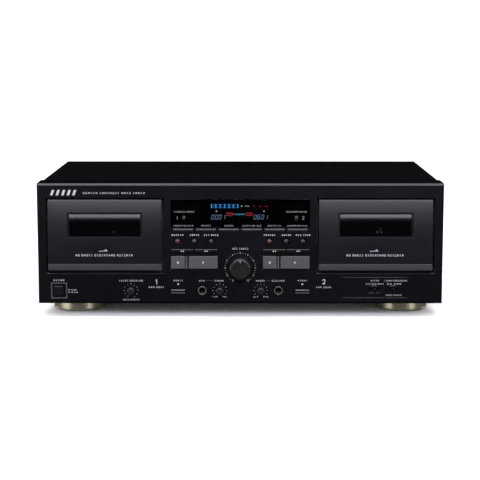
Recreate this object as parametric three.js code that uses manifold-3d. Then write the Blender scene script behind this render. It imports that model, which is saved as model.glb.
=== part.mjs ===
// A full-size double cassette deck: a black moulded front panel with two tilting cassette doors, a display,
// rows of push keys, knobs, jacks and slide switches, a folded steel cover, a base, four turned feet, two tape
// transports, a transformer and a main board.
//
// Millimetres, +Z up. The front faces -Y and +X is the user's right. The origin is on the shelf, under the
// middle of the whole object. "Depth" below is measured backwards from the front panel's front face.

import * as THREE from "three";
import { mergeVertices } from "three/addons/utils/BufferGeometryUtils.js";
import Module from "manifold-3d";

const wasm = await Module();
wasm.setup();

// ---------------------------------------------------------------- driving dimensions

const WIDTH = 435;
const HEIGHT = 145;
const DEPTH = 286;
const KNOB_REACH = 13; // how far the record level knob stands out of the front face
const JACK_REACH = 10; // how far the line jacks stand out of the rear panel
const BODY_DEPTH = DEPTH - KNOB_REACH - JACK_REACH;
const FACE_Y = -DEPTH / 2 + KNOB_REACH;
const GAP = 0.3; // between pieces that touch
const SLOT_GAP = 0.4; // round a key in its slot

const FOOT = { height: 14.7, radius: 28.5, x: 180, frontDepth: 60, rearDepth: 222 };
const PANEL = { bottom: 15, depth: 37, wall: 3, rim: 2.5, chamfer: 2 };
const COVER = { halfWidth: 216, top: HEIGHT - 0.8, bottom: 17.5, sheet: 1.2 };
const BASE = { halfWidth: COVER.halfWidth - COVER.sheet - GAP, sheet: 1.5, flange: 12 };
const FLOOR_Z = PANEL.bottom + GAP + BASE.sheet; // the base's upper face

const DECK_X = 145; // each deck's centre line, left and right of the middle
const DOOR = { halfWidth: 60.75, bottom: 51.6, top: 128, back: 1.5 };
const RECESS = { halfWidth: 63, bottom: 48.3, top: 129.6, chamfer: 1.2 };
const WINDOW = { halfWidth: 40.3, bottom: 87.2, top: 114.1, lip: 1.6, front: -0.7, sheet: 1.6 };
const PIVOT = { depth: 6.5, z: 51, radius: 1.5, reach: 4 }; // reach past the opening's side
const BEARING = { gap: 0.8, length: 3.6, half: 4, behind: 3.5 };
const POCKET = { halfWidth: 51.5, sheet: 2, back: 16, floor: 57.5, top: 118, ledge: 38, flange: 46 };

const PLATE = { depth: 24, sheet: 1.6, halfWidth: 69, bottom: 42, top: 127, reelHole: 2 };
const LEG = { x: 66.25, width: 5.5, low: 64, high: 122 };
const BRACKET = { depth: 44, sheet: 1.6, reach: 28, height: 9 }; // the strap round each flywheel
const REEL = { x: 21.25, z: 92.5, tip: 8.4, spindle: 3.2, chamfer: 1.4, shaft: 1.4, rear: 28 };
const REEL_DISC = { radius: 13, front: 18.5, rear: 22.5 };
const SPLINE = { count: 3, width: 1.2, length: 9, height: 1.8, depth: 15, rise: 0.4 };
const CAPSTAN = { x: 31, z: 64, radius: 1.25, tip: 7, rear: 43.5 };
const FLYWHEEL = { radius: 26, front: 29, rear: 38, rim: 4, hollow: 1 };
const CARRIAGE = { depth: 20, sheet: 1.5, bottom: 43.5, top: 54.5, halfWidth: 34 };
const SHELF = { halfWidth: 14, front: 5, bottom: CARRIAGE.bottom + 0.5, sheet: 1.6 }; // under the head
const HEAD = { halfWidth: 7, front: 4.8, rear: 14.4, bottom: CARRIAGE.bottom + 1, top: POCKET.floor - 1.7 };
const ROLLER = { z: 51.3, armWidth: 5, armFront: 15.5, armRise: 2, axle: 1, axleFront: 4.5 };

const DISPLAY = { halfWidth: 74.3, bottom: 98, top: 128, sheet: 1.5, ledge: 3.5 };
const FUNCTION_KEY = { width: 21.4, height: 3, z: 95.3, pitch: 24.45, count: 6 };
const RESET = { x: 60.2, z: 108, radius: 2.4 };
const KEYPAD = { x: 49.25, halfWidth: 25.15 }; // the centre and size of each deck's group of keys
const PAD = { bottom: 53.4, top: 67, stopWidth: 15.1, ribLeft: 16.2, ribWidth: 1.4, playLeft: 18.9 };
const WIND_KEY = { bottom: 70.8, top: 74.6, gap: 0.8 };
const ROUND_BUTTON = { radius: 2.9, z: 82.7, pitch: 18, countersink: 4.3 };
const EJECT = { x: 66.8, z: 28.5, width: 15, height: 4.4 };
const CONTROL_Z = 29.3; // the height of the bottom row of controls
const LEVEL_KNOB = { z: 54, radius: 11.8, well: 12.8, wellDepth: 1, shaft: 3, hole: 3.6 };
const SMALL_KNOB = { radius: 4.3, reach: 9, pitchX: -117.7, levelX: 22, shaft: 1.6, hole: 2.2 };
const SHAFT_REAR = 14; // how deep the knobs' shafts reach
const JACK = { x: 41, bore: 3.2, nut: 4.8, proud: 1.6, bushing: 4.1, body: 14, depth: 30, back: 2 };
const POWER = { x: -195.2, width: 10.2, height: 11 };
const SWITCH = { timerX: 144.2, noiseX: 164.2, z: 30.3, width: 12, height: 4.2, button: 4, foot: 7 };
// How far each kind of control stands out of the front face.
const PROUD = {
  pad: 3,
  wind: 2.4,
  function: 1.8,
  eject: 2.6,
  power: 4,
  round: 1.6,
  reset: 1.2,
  slide: 1.6,
};
const KEY_REAR = { cap: 2.4, flange: 1.8, rise: 2 }; // behind the front wall

const LINE_JACK = { x: 60, z: 45, pitch: 14, radius: 4.2, bore: 1.7, plate: 32, opening: 34, behind: 14 };
const INLET = { x: -150, z: 50, width: 27, height: 17, behind: 18, recessWidth: 17, recessHeight: 8.4 };
const PIN = { pitch: 8.6, radius: 1.2, back: 15, front: 2 };
const REAR_SHEET = 1.5;

const CORE = { halfWidth: 30, depths: [165, 197], height: 50 }; // the transformer, behind the inlet
const COIL = { halfWidth: 18, depths: [155, 207], bottom: 9, top: 41 };
const STRAP = { halfWidth: 40, depths: [172, 190], sheet: 2 };
const BOARD = { xs: [-95, 195], depths: [100, 235], rise: 9, sheet: 1.6 };
const POST = { half: 3, inset: 7 };
const CHIP = { count: 5, x: -40, pitch: 44, width: 26, depths: [120, 132], height: 4 };
const CAPACITOR = { count: 4, x: -78, pitch: 24, depth: 215, radius: 8, height: 30 };
const HEAT_SINK = { xs: [-90, -30], depths: [170, 176], height: 40 };
const SEAT = 0.5; // how far a piece is let into the one it stands on

const back = (depth) => FACE_Y + depth; // depth behind the front face, as a Y coordinate

// ---------------------------------------------------------------- materials

const finish = (color, roughness, metalness = 0) =>
  new THREE.MeshStandardMaterial({ color, roughness, metalness });
const BLACK_PLASTIC = finish(0x17171b, 0.45);
const DOOR_PLASTIC = finish(0x26262b, 0.35);
const SMOKED_ACRYLIC = finish(0x050507, 0.08);
const BLACK_STEEL = finish(0x0e0e12, 0.5, 0.3);
const ZINC_STEEL = finish(0x9a9ca0, 0.4, 0.9);
const CHAMPAGNE = finish(0xb9b19a, 0.25, 0.9);
const KEY_GREY = finish(0x646469, 0.4, 0.4);
const KNOB_BLACK = finish(0x2a2c30, 0.4);
const REC_RED = finish(0x8a3a30, 0.4);
const NICKEL = finish(0x8d8a7c, 0.25, 1);
const INNER_PLASTIC = finish(0x1c1c1e, 0.6);
const BRASS = finish(0xa98f55, 0.35, 1);
const BOARD_GREEN = finish(0x2f5a38, 0.6);
const COPPER_BROWN = finish(0x6a4a30, 0.6, 0.2);

// ---------------------------------------------------------------- solids

// A closed three.js geometry as a solid that can be joined and cut.
function solid(geometry) {
  const bare = new THREE.BufferGeometry();
  bare.setAttribute("position", geometry.getAttribute("position"));
  bare.setIndex(geometry.index);
  const merged = mergeVertices(bare, 1e-4);
  return new wasm.Manifold(
    new wasm.Mesh({
      numProp: 3,
      vertProperties: new Float32Array(merged.attributes.position.array),
      triVerts: new Uint32Array(merged.index.array),
    }),
  );
}

// A solid as a named three.js mesh with flat shading.
function part(name, shape, material) {
  const { vertProperties, triVerts } = shape.getMesh();
  const indexed = new THREE.BufferGeometry();
  indexed.setAttribute("position", new THREE.BufferAttribute(vertProperties, 3));
  indexed.setIndex(new THREE.BufferAttribute(triVerts, 1));
  const geometry = indexed.toNonIndexed();
  geometry.computeVertexNormals();
  const mesh = new THREE.Mesh(geometry, material);
  mesh.name = name;
  return mesh;
}

// A box between two X coordinates, two depths and two Z coordinates.
function block([x0, x1], [d0, d1], [z0, z1]) {
  const geometry = new THREE.BoxGeometry(x1 - x0, d1 - d0, z1 - z0);
  geometry.translate((x0 + x1) / 2, back((d0 + d1) / 2), (z0 + z1) / 2);
  return solid(geometry);
}

// A box that is centred on x and z.
const bar = (x, z, width, height, depths) =>
  block([x - width / 2, x + width / 2], depths, [z - height / 2, z + height / 2]);

// A box centred on x and z whose front and rear edges are chamfered.
function chamfered(x, z, width, height, [d0, d1], chamfer) {
  const halfWidth = width / 2 - chamfer;
  const halfHeight = height / 2 - chamfer;
  const corners = [
    [-halfWidth, -halfHeight],
    [halfWidth, -halfHeight],
    [halfWidth, halfHeight],
    [-halfWidth, halfHeight],
  ];
  const geometry = new THREE.ExtrudeGeometry(new THREE.Shape(corners.map((c) => new THREE.Vector2(...c))), {
    depth: d1 - d0 - 2 * chamfer,
    bevelThickness: chamfer,
    bevelSize: chamfer,
    bevelSegments: 1,
  });
  geometry.rotateX(Math.PI / 2);
  geometry.translate(x, back(d1 - chamfer), z);
  return solid(geometry);
}

// A solid turned about an axis along Y through x and z, from [radius, depth] pairs, front first.
function turned(x, z, profile, segments) {
  const points = profile.map(([radius, depth]) => new THREE.Vector2(radius, back(depth)));
  const geometry = new THREE.LatheGeometry(points, segments);
  geometry.translate(x, 0, z);
  return solid(geometry);
}

// A round bar along Y.
const rod = (x, z, radius, [d0, d1], segments = 16) =>
  turned(x, z, [[0, d0], [radius, d0], [radius, d1], [0, d1]], segments);

// A round bar along X on the door's pivot line.
function pivotRod([x0, x1], radius, segments = 12) {
  const geometry = new THREE.CylinderGeometry(radius, radius, x1 - x0, segments);
  geometry.rotateZ(Math.PI / 2);
  geometry.translate((x0 + x1) / 2, back(PIVOT.depth), PIVOT.z);
  return solid(geometry);
}

// An outline of [depth, z] points, extruded along X from x0 to x1.
function extruded([x0, x1], outline) {
  const shape = new THREE.Shape(outline.map(([depth, z]) => new THREE.Vector2(back(depth), z)));
  const geometry = new THREE.ExtrudeGeometry(shape, { depth: x1 - x0, bevelEnabled: false });
  const axes = [new THREE.Vector3(0, 1, 0), new THREE.Vector3(0, 0, 1), new THREE.Vector3(1, 0, 0)];
  geometry.applyMatrix4(new THREE.Matrix4().makeBasis(...axes));
  geometry.translate(x0, 0, 0);
  return solid(geometry);
}

const joined = (shapes) => shapes.reduce((a, b) => a.add(b));
const cut = (shape, tools) => tools.reduce((a, b) => a.subtract(b), shape);
const SIDES = [-1, 1];
// The X range between two distances from a centre line, on its left or right side.
const beside = (centre, side, near, far) =>
  side > 0 ? [centre + near, centre + far] : [centre - far, centre - near];

// ---------------------------------------------------------------- where the repeated controls are

const functionKeyX = (i) => (i - (FUNCTION_KEY.count - 1) / 2) * FUNCTION_KEY.pitch;
const roundButtonX = (side, i) => side * KEYPAD.x + (i - 1) * ROUND_BUTTON.pitch;
const padLeft = (side) => side * KEYPAD.x - KEYPAD.halfWidth;
const middle = ({ bottom, top }) => (bottom + top) / 2;
const tall = ({ bottom, top }) => top - bottom;

// ---------------------------------------------------------------- case

// The countersunk hole of a round button.
function buttonHole(x, z) {
  const inner = ROUND_BUTTON.radius + SLOT_GAP;
  const profile = [
    [0, -1],
    [ROUND_BUTTON.countersink, -1],
    [ROUND_BUTTON.countersink, 0],
    [inner, 1],
    [inner, PANEL.wall + 1],
    [0, PANEL.wall + 1],
  ];
  return turned(x, z, profile, 20);
}

// The opening in front of one cassette door, with a chamfered lower edge.
function doorOpening(centre) {
  const { halfWidth, bottom, top, chamfer } = RECESS;
  const outline = [
    [-1, bottom - chamfer],
    [0, bottom - chamfer],
    [chamfer, bottom],
    [PANEL.wall + 1, bottom],
    [PANEL.wall + 1, top],
    [-1, top],
  ];
  return extruded([centre - halfWidth, centre + halfWidth], outline);
}

// The panel's outer shape: its four front edges are chamfered.
function panelShell() {
  const half = WIDTH / 2;
  const { bottom, depth, wall, rim, chamfer } = PANEL;
  const side = [
    [0, bottom + chamfer],
    [chamfer, bottom],
    [depth, bottom],
    [depth, HEIGHT],
    [chamfer, HEIGHT],
    [0, HEIGHT - chamfer],
  ];
  const wide = chamfered(0, 0, WIDTH, 2 * HEIGHT, [0, 2 * depth], chamfer);
  const outer = extruded([-half, half], side).intersect(wide);
  return cut(outer, [block([rim - half, half - rim], [wall, depth + 1], [bottom + rim, HEIGHT - rim])]);
}

// A bearing behind the front wall for one end of a door's pivot.
function pivotBearing(centre, side) {
  const { gap, length, half, behind } = BEARING;
  const near = RECESS.halfWidth + gap;
  const boss = block(
    beside(centre, side, near, near + length),
    [PANEL.wall - SEAT, PIVOT.depth + behind],
    [PIVOT.z - half, PIVOT.z + half],
  );
  return cut(boss, [pivotRod(beside(centre, side, near - 1, near + length + 1), PIVOT.radius + GAP)]);
}

// The moulded front panel: a wall with every opening, a deep rim round it, and the door bearings.
function frontPanel() {
  const through = [-1, PANEL.wall + 1];
  const slot = (x, z, width, height) => bar(x, z, width + 2 * SLOT_GAP, height + 2 * SLOT_GAP, through);
  const hole = (x, radius) => rod(x, CONTROL_Z, radius, through);
  const lens = DISPLAY;
  const openings = [
    bar(0, middle(lens), 2 * (lens.halfWidth + GAP), tall(lens) + 2 * GAP, [-1, lens.sheet + 0.5]),
    bar(0, middle(lens), 2 * (lens.halfWidth - lens.ledge), tall(lens) - 2 * lens.ledge, through),
    rod(0, LEVEL_KNOB.z, LEVEL_KNOB.well, [-1, LEVEL_KNOB.wellDepth], 36),
    rod(0, LEVEL_KNOB.z, LEVEL_KNOB.hole, through),
    slot(POWER.x, CONTROL_Z, POWER.width, POWER.height),
    bar(SWITCH.timerX, SWITCH.z, SWITCH.width, SWITCH.height, through),
    bar(SWITCH.noiseX, SWITCH.z, SWITCH.width, SWITCH.height, through),
    hole(SMALL_KNOB.pitchX, SMALL_KNOB.hole),
  ];
  for (let i = 0; i < FUNCTION_KEY.count; i++) {
    openings.push(slot(functionKeyX(i), FUNCTION_KEY.z, FUNCTION_KEY.width, FUNCTION_KEY.height));
  }
  const added = [];
  for (const side of SIDES) {
    const keysX = side * KEYPAD.x;
    const ribX = padLeft(side) + PAD.ribLeft + PAD.ribWidth / 2;
    openings.push(
      doorOpening(side * DECK_X),
      hole(side * SMALL_KNOB.levelX, SMALL_KNOB.hole),
      hole(side * JACK.x, JACK.bushing + SLOT_GAP),
      slot(side * EJECT.x, EJECT.z, EJECT.width, EJECT.height),
      slot(keysX, middle(PAD), 2 * KEYPAD.halfWidth, tall(PAD)),
      slot(keysX, middle(WIND_KEY), 2 * KEYPAD.halfWidth, tall(WIND_KEY)),
      ...[0, 1, 2].map((i) => buttonHole(roundButtonX(side, i), ROUND_BUTTON.z)),
    );
    added.push(
      bar(ribX, middle(PAD), PAD.ribWidth, tall(PAD) + 3, [0.2, PANEL.wall - 0.2]),
      ...SIDES.map((end) => pivotBearing(side * DECK_X, end)),
    );
  }
  return part("front_panel", joined([cut(panelShell(), openings), ...added]), BLACK_PLASTIC);
}

// The flush display window, with a hole for each counter reset button.
function displayWindow() {
  const pane = bar(0, middle(DISPLAY), 2 * DISPLAY.halfWidth, tall(DISPLAY), [0.2, 0.2 + DISPLAY.sheet]);
  const holes = SIDES.map((side) => rod(side * RESET.x, RESET.z, RESET.radius + SLOT_GAP, [-1, 3]));
  return part("display_window", cut(pane, holes), SMOKED_ACRYLIC);
}

// The folded steel cover: a top and two sides.
function topCover() {
  const { halfWidth, top, bottom, sheet } = COVER;
  const front = PANEL.depth + GAP;
  const outer = block([-halfWidth, halfWidth], [front, BODY_DEPTH], [bottom, top]);
  const inside = [sheet - halfWidth, halfWidth - sheet];
  const inner = block(inside, [front - 1, BODY_DEPTH + 1], [0, top - sheet]);
  return part("top_cover", cut(outer, [inner]), BLACK_STEEL);
}

// The base: a floor behind the front panel with a flange up each side.
function baseChassis() {
  const { halfWidth, sheet, flange } = BASE;
  const bottom = FLOOR_Z - sheet;
  const depths = [PANEL.depth + GAP, BODY_DEPTH - 2];
  const floor = block([-halfWidth, halfWidth], depths, [bottom, FLOOR_Z]);
  const flanges = SIDES.map((side) =>
    block(beside(0, side, halfWidth - sheet, halfWidth), depths, [bottom, bottom + flange]),
  );
  return part("base_chassis", joined([floor, ...flanges]), ZINC_STEEL);
}

// The rear panel, with openings for the line jacks and the mains inlet.
function rearPanel() {
  const plate = block(
    [-BASE.halfWidth, BASE.halfWidth],
    [BODY_DEPTH - REAR_SHEET, BODY_DEPTH],
    [FLOOR_Z + GAP, COVER.top - COVER.sheet - GAP],
  );
  const through = [BODY_DEPTH - 3, BODY_DEPTH + 1];
  const openings = [
    bar(LINE_JACK.x, LINE_JACK.z, LINE_JACK.opening, LINE_JACK.opening, through),
    bar(INLET.x, INLET.z, INLET.width + 1, INLET.height + 1, through),
  ];
  return part("rear_panel", cut(plate, openings), BLACK_STEEL);
}

// The recessed two-pin mains inlet.
function mainsInlet() {
  const { x, z, width, height, behind, recessWidth, recessHeight } = INLET;
  const body = bar(x, z, width, height, [BODY_DEPTH - behind, BODY_DEPTH + 0.8]);
  const recess = bar(x, z, recessWidth, recessHeight, [BODY_DEPTH - PIN.back + 1, BODY_DEPTH + 2]);
  const pinDepths = [BODY_DEPTH - PIN.back, BODY_DEPTH - PIN.front];
  const pins = SIDES.map((side) => rod(x + (side * PIN.pitch) / 2, z, PIN.radius, pinDepths, 8));
  return part("mains_inlet", joined([cut(body, [recess]), ...pins]), INNER_PLASTIC);
}

// The block of four line jacks, two for each direction.
function lineJackBlock() {
  const { x, z, pitch, radius, bore, plate: side, behind } = LINE_JACK;
  const plate = bar(x, z, side, side, [BODY_DEPTH - behind, BODY_DEPTH + 1]);
  const centres = SIDES.flatMap((column) =>
    SIDES.map((row) => [x + (column * pitch) / 2, z + (row * pitch) / 2]),
  );
  const reach = BODY_DEPTH + JACK_REACH;
  const barrels = centres.map((c) => rod(...c, radius, [BODY_DEPTH, reach], 18));
  const bores = centres.map((c) => rod(...c, bore, [BODY_DEPTH - 8, reach + 1], 10));
  return part("line_jack_block", cut(joined([plate, ...barrels]), bores), NICKEL);
}

// A turned foot with a rounded lower edge and a hollow underneath.
function foot(name, x, depth) {
  const { height, radius } = FOOT;
  const profile = [
    [0, 1],
    [radius - 9, 1],
    [radius - 8.5, 0],
    [radius - 1.6, 0],
    [radius - 0.4, 0.7],
    [radius, 2],
    [radius, height],
    [0, height],
  ];
  const points = profile.map((point) => new THREE.Vector2(...point));
  const geometry = new THREE.LatheGeometry(points, 36);
  geometry.rotateX(Math.PI / 2);
  geometry.translate(x, back(depth), 0);
  return part(name, solid(geometry), CHAMPAGNE);
}

// ---------------------------------------------------------------- doors

// A door's front: leaning back at its top, upright below, with a lip flaring out along its lower edge.
const DOOR_OUTLINE = [
  [DOOR.back, DOOR.bottom + 1.4],
  [-3.4, DOOR.bottom],
  [-4.5, DOOR.bottom + 1.2],
  [-2.9, DOOR.bottom + 7],
  [-3, 80],
  [-2.7, 100],
  [-1.9, 114],
  [-0.9, 123],
  [0.2, DOOR.top],
  [DOOR.back, DOOR.top],
];

// One cheek of the cassette pocket, down to the pivot.
const CHEEK_OUTLINE = [
  [DOOR.back - 0.5, POCKET.top],
  [POCKET.back + POCKET.sheet, POCKET.top],
  [POCKET.back + POCKET.sheet, POCKET.floor - POCKET.sheet],
  [PIVOT.depth + 2.5, PIVOT.z - 1.5],
  [PIVOT.depth - 2, PIVOT.z - 1.5],
  [PIVOT.depth - 2, DOOR.bottom + 2.4],
  [DOOR.back - 0.5, DOOR.bottom + 2.6],
];

// A cassette door: the front cover with the pocket that carries the cassette, and two pivot pins.
function cassetteDoor(name, centre) {
  const { halfWidth, sheet, back: rear, floor, top, ledge, flange } = POCKET;
  const front = extruded([centre - DOOR.halfWidth, centre + DOOR.halfWidth], DOOR_OUTLINE);
  const windowHeight = WINDOW.top - WINDOW.bottom;
  const windowZ = (WINDOW.top + WINDOW.bottom) / 2;
  const opening = bar(centre, windowZ, 2 * WINDOW.halfWidth, windowHeight, [-6, 3]);
  const seatWidth = 2 * (WINDOW.halfWidth + WINDOW.lip + GAP);
  const seatHeight = windowHeight + 2 * (WINDOW.lip + GAP);
  const seat = bar(centre, windowZ, seatWidth, seatHeight, [WINDOW.front - GAP, 3]);
  const pocketRear = rear + sheet;
  const pocketFloor = [floor - sheet, floor];
  const pocket = SIDES.flatMap((side) => [
    extruded(beside(centre, side, halfWidth, halfWidth + sheet), CHEEK_OUTLINE),
    block(beside(centre, side, flange, halfWidth + SEAT), [rear, pocketRear], [floor - sheet, top]),
    block(beside(centre, side, ledge, halfWidth + SEAT), [DOOR.back - SEAT, pocketRear], pocketFloor),
    pivotRod(beside(centre, side, halfWidth + SEAT, RECESS.halfWidth + PIVOT.reach), PIVOT.radius),
  ]);
  return part(name, joined([cut(front, [opening, seat]), ...pocket]), DOOR_PLASTIC);
}

// The smoked pane behind a door's window opening.
function doorWindow(name, centre) {
  const width = 2 * (WINDOW.halfWidth + WINDOW.lip);
  const height = WINDOW.top - WINDOW.bottom + 2 * WINDOW.lip;
  const depths = [WINDOW.front, WINDOW.front + WINDOW.sheet];
  return part(name, bar(centre, (WINDOW.top + WINDOW.bottom) / 2, width, height, depths), SMOKED_ACRYLIC);
}

// ---------------------------------------------------------------- tape transports

// The steel plate of one transport, on four legs behind the front wall, with a strap round the flywheel.
function mechanismPlate(name, centre) {
  const { depth, sheet, halfWidth, bottom, top, reelHole } = PLATE;
  const plate = block([centre - halfWidth, centre + halfWidth], [depth, depth + sheet], [bottom, top]);
  const through = [depth - 1, depth + sheet + 1];
  const holes = [
    ...SIDES.map((side) => rod(centre + side * REEL.x, REEL.z, reelHole, through, 10)),
    rod(centre + CAPSTAN.x, CAPSTAN.z, CAPSTAN.radius + SEAT, through, 10),
  ];
  const legs = SIDES.flatMap((side) =>
    [LEG.low, LEG.high].map((z) =>
      bar(centre + side * LEG.x, z, LEG.width, LEG.width, [PANEL.wall + GAP, depth + SEAT]),
    ),
  );
  const x = centre + CAPSTAN.x;
  const { depth: strapFront, sheet: strapSheet, reach, height } = BRACKET;
  const arm = [depth + 1, strapFront + 1];
  const strapWidth = 2 * (reach + strapSheet);
  const bracket = [
    bar(x, CAPSTAN.z, strapWidth, height, [strapFront, strapFront + strapSheet]),
    ...SIDES.map((side) => bar(x + side * (reach + strapSheet / 2), CAPSTAN.z, strapSheet, height, arm)),
  ];
  return part(name, joined([cut(plate, holes), ...legs, ...bracket]), ZINC_STEEL);
}

// A reel table: a splined spindle in front of a disc, on a shaft through the plate.
function reel(name, x) {
  const { z, tip, spindle, chamfer, shaft, rear } = REEL;
  const { radius, front: discFront, rear: discRear } = REEL_DISC;
  const profile = [
    [0, tip],
    [spindle - chamfer, tip],
    [spindle, tip + 2],
    [spindle, discFront],
    [radius, discFront],
    [radius, discRear],
    [shaft, discRear],
    [shaft, rear],
    [0, rear],
  ];
  const splines = Array.from({ length: SPLINE.count }, (_, i) => {
    const geometry = new THREE.BoxGeometry(SPLINE.width, SPLINE.length, SPLINE.height);
    geometry.translate(0, back(SPLINE.depth), spindle + SPLINE.rise);
    geometry.rotateY((i * 2 * Math.PI) / SPLINE.count);
    geometry.translate(x, 0, z);
    return solid(geometry);
  });
  return part(name, joined([turned(x, z, profile, 24), ...splines]), INNER_PLASTIC);
}

// A flywheel with a raised rim, and the capstan as its shaft.
function flywheel(name, x) {
  const { z, radius: shaft, tip, rear: shaftRear } = CAPSTAN;
  const { radius, front, rear, rim, hollow } = FLYWHEEL;
  const profile = [
    [0, tip],
    [shaft, tip],
    [shaft, front + hollow],
    [radius - rim, front + hollow],
    [radius - rim, front],
    [radius, front],
    [radius, rear],
    [shaft, rear],
    [shaft, shaftRear],
    [0, shaftRear],
  ];
  return part(name, turned(x, z, profile, 36), BRASS);
}

// The carriage that lifts the head and the pinch roller's axle into the cassette.
function headCarriage(name, centre) {
  const { depth, sheet, bottom, top, halfWidth } = CARRIAGE;
  const seat = depth + SEAT;
  const across = (half) => [centre - half, centre + half];
  const rollerX = centre + CAPSTAN.x;
  const armTop = ROLLER.z + ROLLER.armRise;
  const shelfZ = [SHELF.bottom, SHELF.bottom + SHELF.sheet];
  const pieces = [
    block(across(halfWidth), [depth, depth + sheet], [bottom, top]),
    block(across(SHELF.halfWidth), [SHELF.front, seat], shelfZ),
    block(across(HEAD.halfWidth), [HEAD.front, HEAD.rear], [HEAD.bottom, HEAD.top]),
    bar(rollerX, (bottom + armTop) / 2, ROLLER.armWidth, armTop - bottom, [ROLLER.armFront, seat]),
    rod(rollerX, ROLLER.z, ROLLER.axle, [ROLLER.axleFront, ROLLER.armFront + SEAT], 10),
  ];
  return part(name, joined(pieces), ZINC_STEEL);
}

// ---------------------------------------------------------------- inside the case

// The mains transformer: a laminated core, its winding and a mounting strap.
function transformer() {
  const { x } = INLET;
  const above = ({ halfWidth, depths }, bottom, top) =>
    block([x - halfWidth, x + halfWidth], depths, [FLOOR_Z + bottom, FLOOR_Z + top]);
  const pieces = [
    above(CORE, GAP, CORE.height),
    above(COIL, COIL.bottom, COIL.top),
    above(STRAP, GAP, STRAP.sheet),
  ];
  return part("power_transformer", joined(pieces), COPPER_BROWN);
}

// The main circuit board on its posts, with its tall components.
function mainBoard() {
  const top = FLOOR_Z + BOARD.rise;
  const seat = top - SEAT;
  const board = block(BOARD.xs, BOARD.depths, [top - BOARD.sheet, top]);
  const inward = ([low, high]) => [low + POST.inset, high - POST.inset];
  const posts = inward(BOARD.xs).flatMap((x) =>
    inward(BOARD.depths).map((depth) =>
      block([x - POST.half, x + POST.half], [depth - POST.half, depth + POST.half], [FLOOR_Z + GAP, seat]),
    ),
  );
  const chips = Array.from({ length: CHIP.count }, (_, i) => {
    const left = CHIP.x + CHIP.pitch * i;
    return block([left, left + CHIP.width], CHIP.depths, [seat, top + CHIP.height]);
  });
  const capacitors = Array.from({ length: CAPACITOR.count }, (_, i) => {
    const { radius, height } = CAPACITOR;
    const geometry = new THREE.CylinderGeometry(radius, radius, height + SEAT, 14);
    geometry.rotateX(Math.PI / 2);
    geometry.translate(CAPACITOR.x + CAPACITOR.pitch * i, back(CAPACITOR.depth), (seat + top + height) / 2);
    return solid(geometry);
  });
  const heatSink = block(HEAT_SINK.xs, HEAT_SINK.depths, [seat, top + HEAT_SINK.height]);
  return part("main_board", joined([board, ...posts, ...chips, ...capacitors, heatSink]), BOARD_GREEN);
}

// ---------------------------------------------------------------- controls

// A push key: a chamfered cap through the front wall and a flange that holds it in from behind.
function key(name, x, z, width, height, proud, material) {
  const { cap: capRear, flange: flangeRear, rise } = KEY_REAR;
  const cap = chamfered(x, z, width, height, [-proud, PANEL.wall + capRear], 0.6);
  const flange = bar(x, z, width, height + rise, [PANEL.wall + GAP, PANEL.wall + flangeRear]);
  return part(name, joined([cap, flange]), material);
}

// A round push button with a chamfered rim and a flange.
function roundButton(name, x, z, radius, proud, material) {
  const profile = [
    [0, -proud],
    [radius - 0.5, -proud],
    [radius, 0.5 - proud],
    [radius, PANEL.wall + GAP],
    [radius + 1, PANEL.wall + GAP],
    [radius + 1, PANEL.wall + 2],
    [0, PANEL.wall + 2],
  ];
  return part(name, turned(x, z, profile, 18), material);
}

// A knob with a pointer groove at its top and a shaft through the front wall.
function knob(name, x, { z = CONTROL_Z, radius, shaft }, front, rear, segments) {
  const profile = [
    [0, front + 0.5],
    [radius * 0.78, front + 0.5],
    [radius * 0.82, front],
    [radius * 0.93, front],
    [radius, front + radius * 0.08],
    [radius, rear],
    [shaft, rear],
    [shaft, SHAFT_REAR],
    [0, SHAFT_REAR],
  ];
  const half = radius * 0.07;
  const pointer = block([x - half, x + half], [front - 1, front + 1.2], [z + radius / 2, z + radius]);
  return part(name, cut(turned(x, z, profile, segments), [pointer]), KNOB_BLACK);
}

// A slide switch's button, with a wider foot behind the wall.
function slider(name, x) {
  const { z, height, button, foot: footWidth } = SWITCH;
  const pieces = [
    bar(x, z, button, height - 1, [-PROUD.slide, PANEL.wall + 1]),
    bar(x, z, footWidth, height + 2, [PANEL.wall + GAP, PANEL.wall + 1.5]),
  ];
  return part(name, joined(pieces), KEY_GREY);
}

// A 6.35 mm jack: a nut in front of the wall, a bushing through it and a body behind it.
function jack(name, x) {
  const { nut, proud, bushing, bore, body: width, depth, back: rearWall } = JACK;
  const bodyFront = PANEL.wall + GAP;
  const profile = [
    [0, -proud],
    [nut - 0.5, -proud],
    [nut, 0.5 - proud],
    [nut, -GAP],
    [bushing, -GAP],
    [bushing, bodyFront + 1],
    [0, bodyFront + 1],
  ];
  const body = bar(x, CONTROL_Z, width, width, [bodyFront, depth]);
  const hole = rod(x, CONTROL_Z, bore, [-proud - 1, depth - rearWall], 24);
  return part(name, cut(joined([turned(x, CONTROL_Z, profile, 24), body]), [hole]), NICKEL);
}

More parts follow.
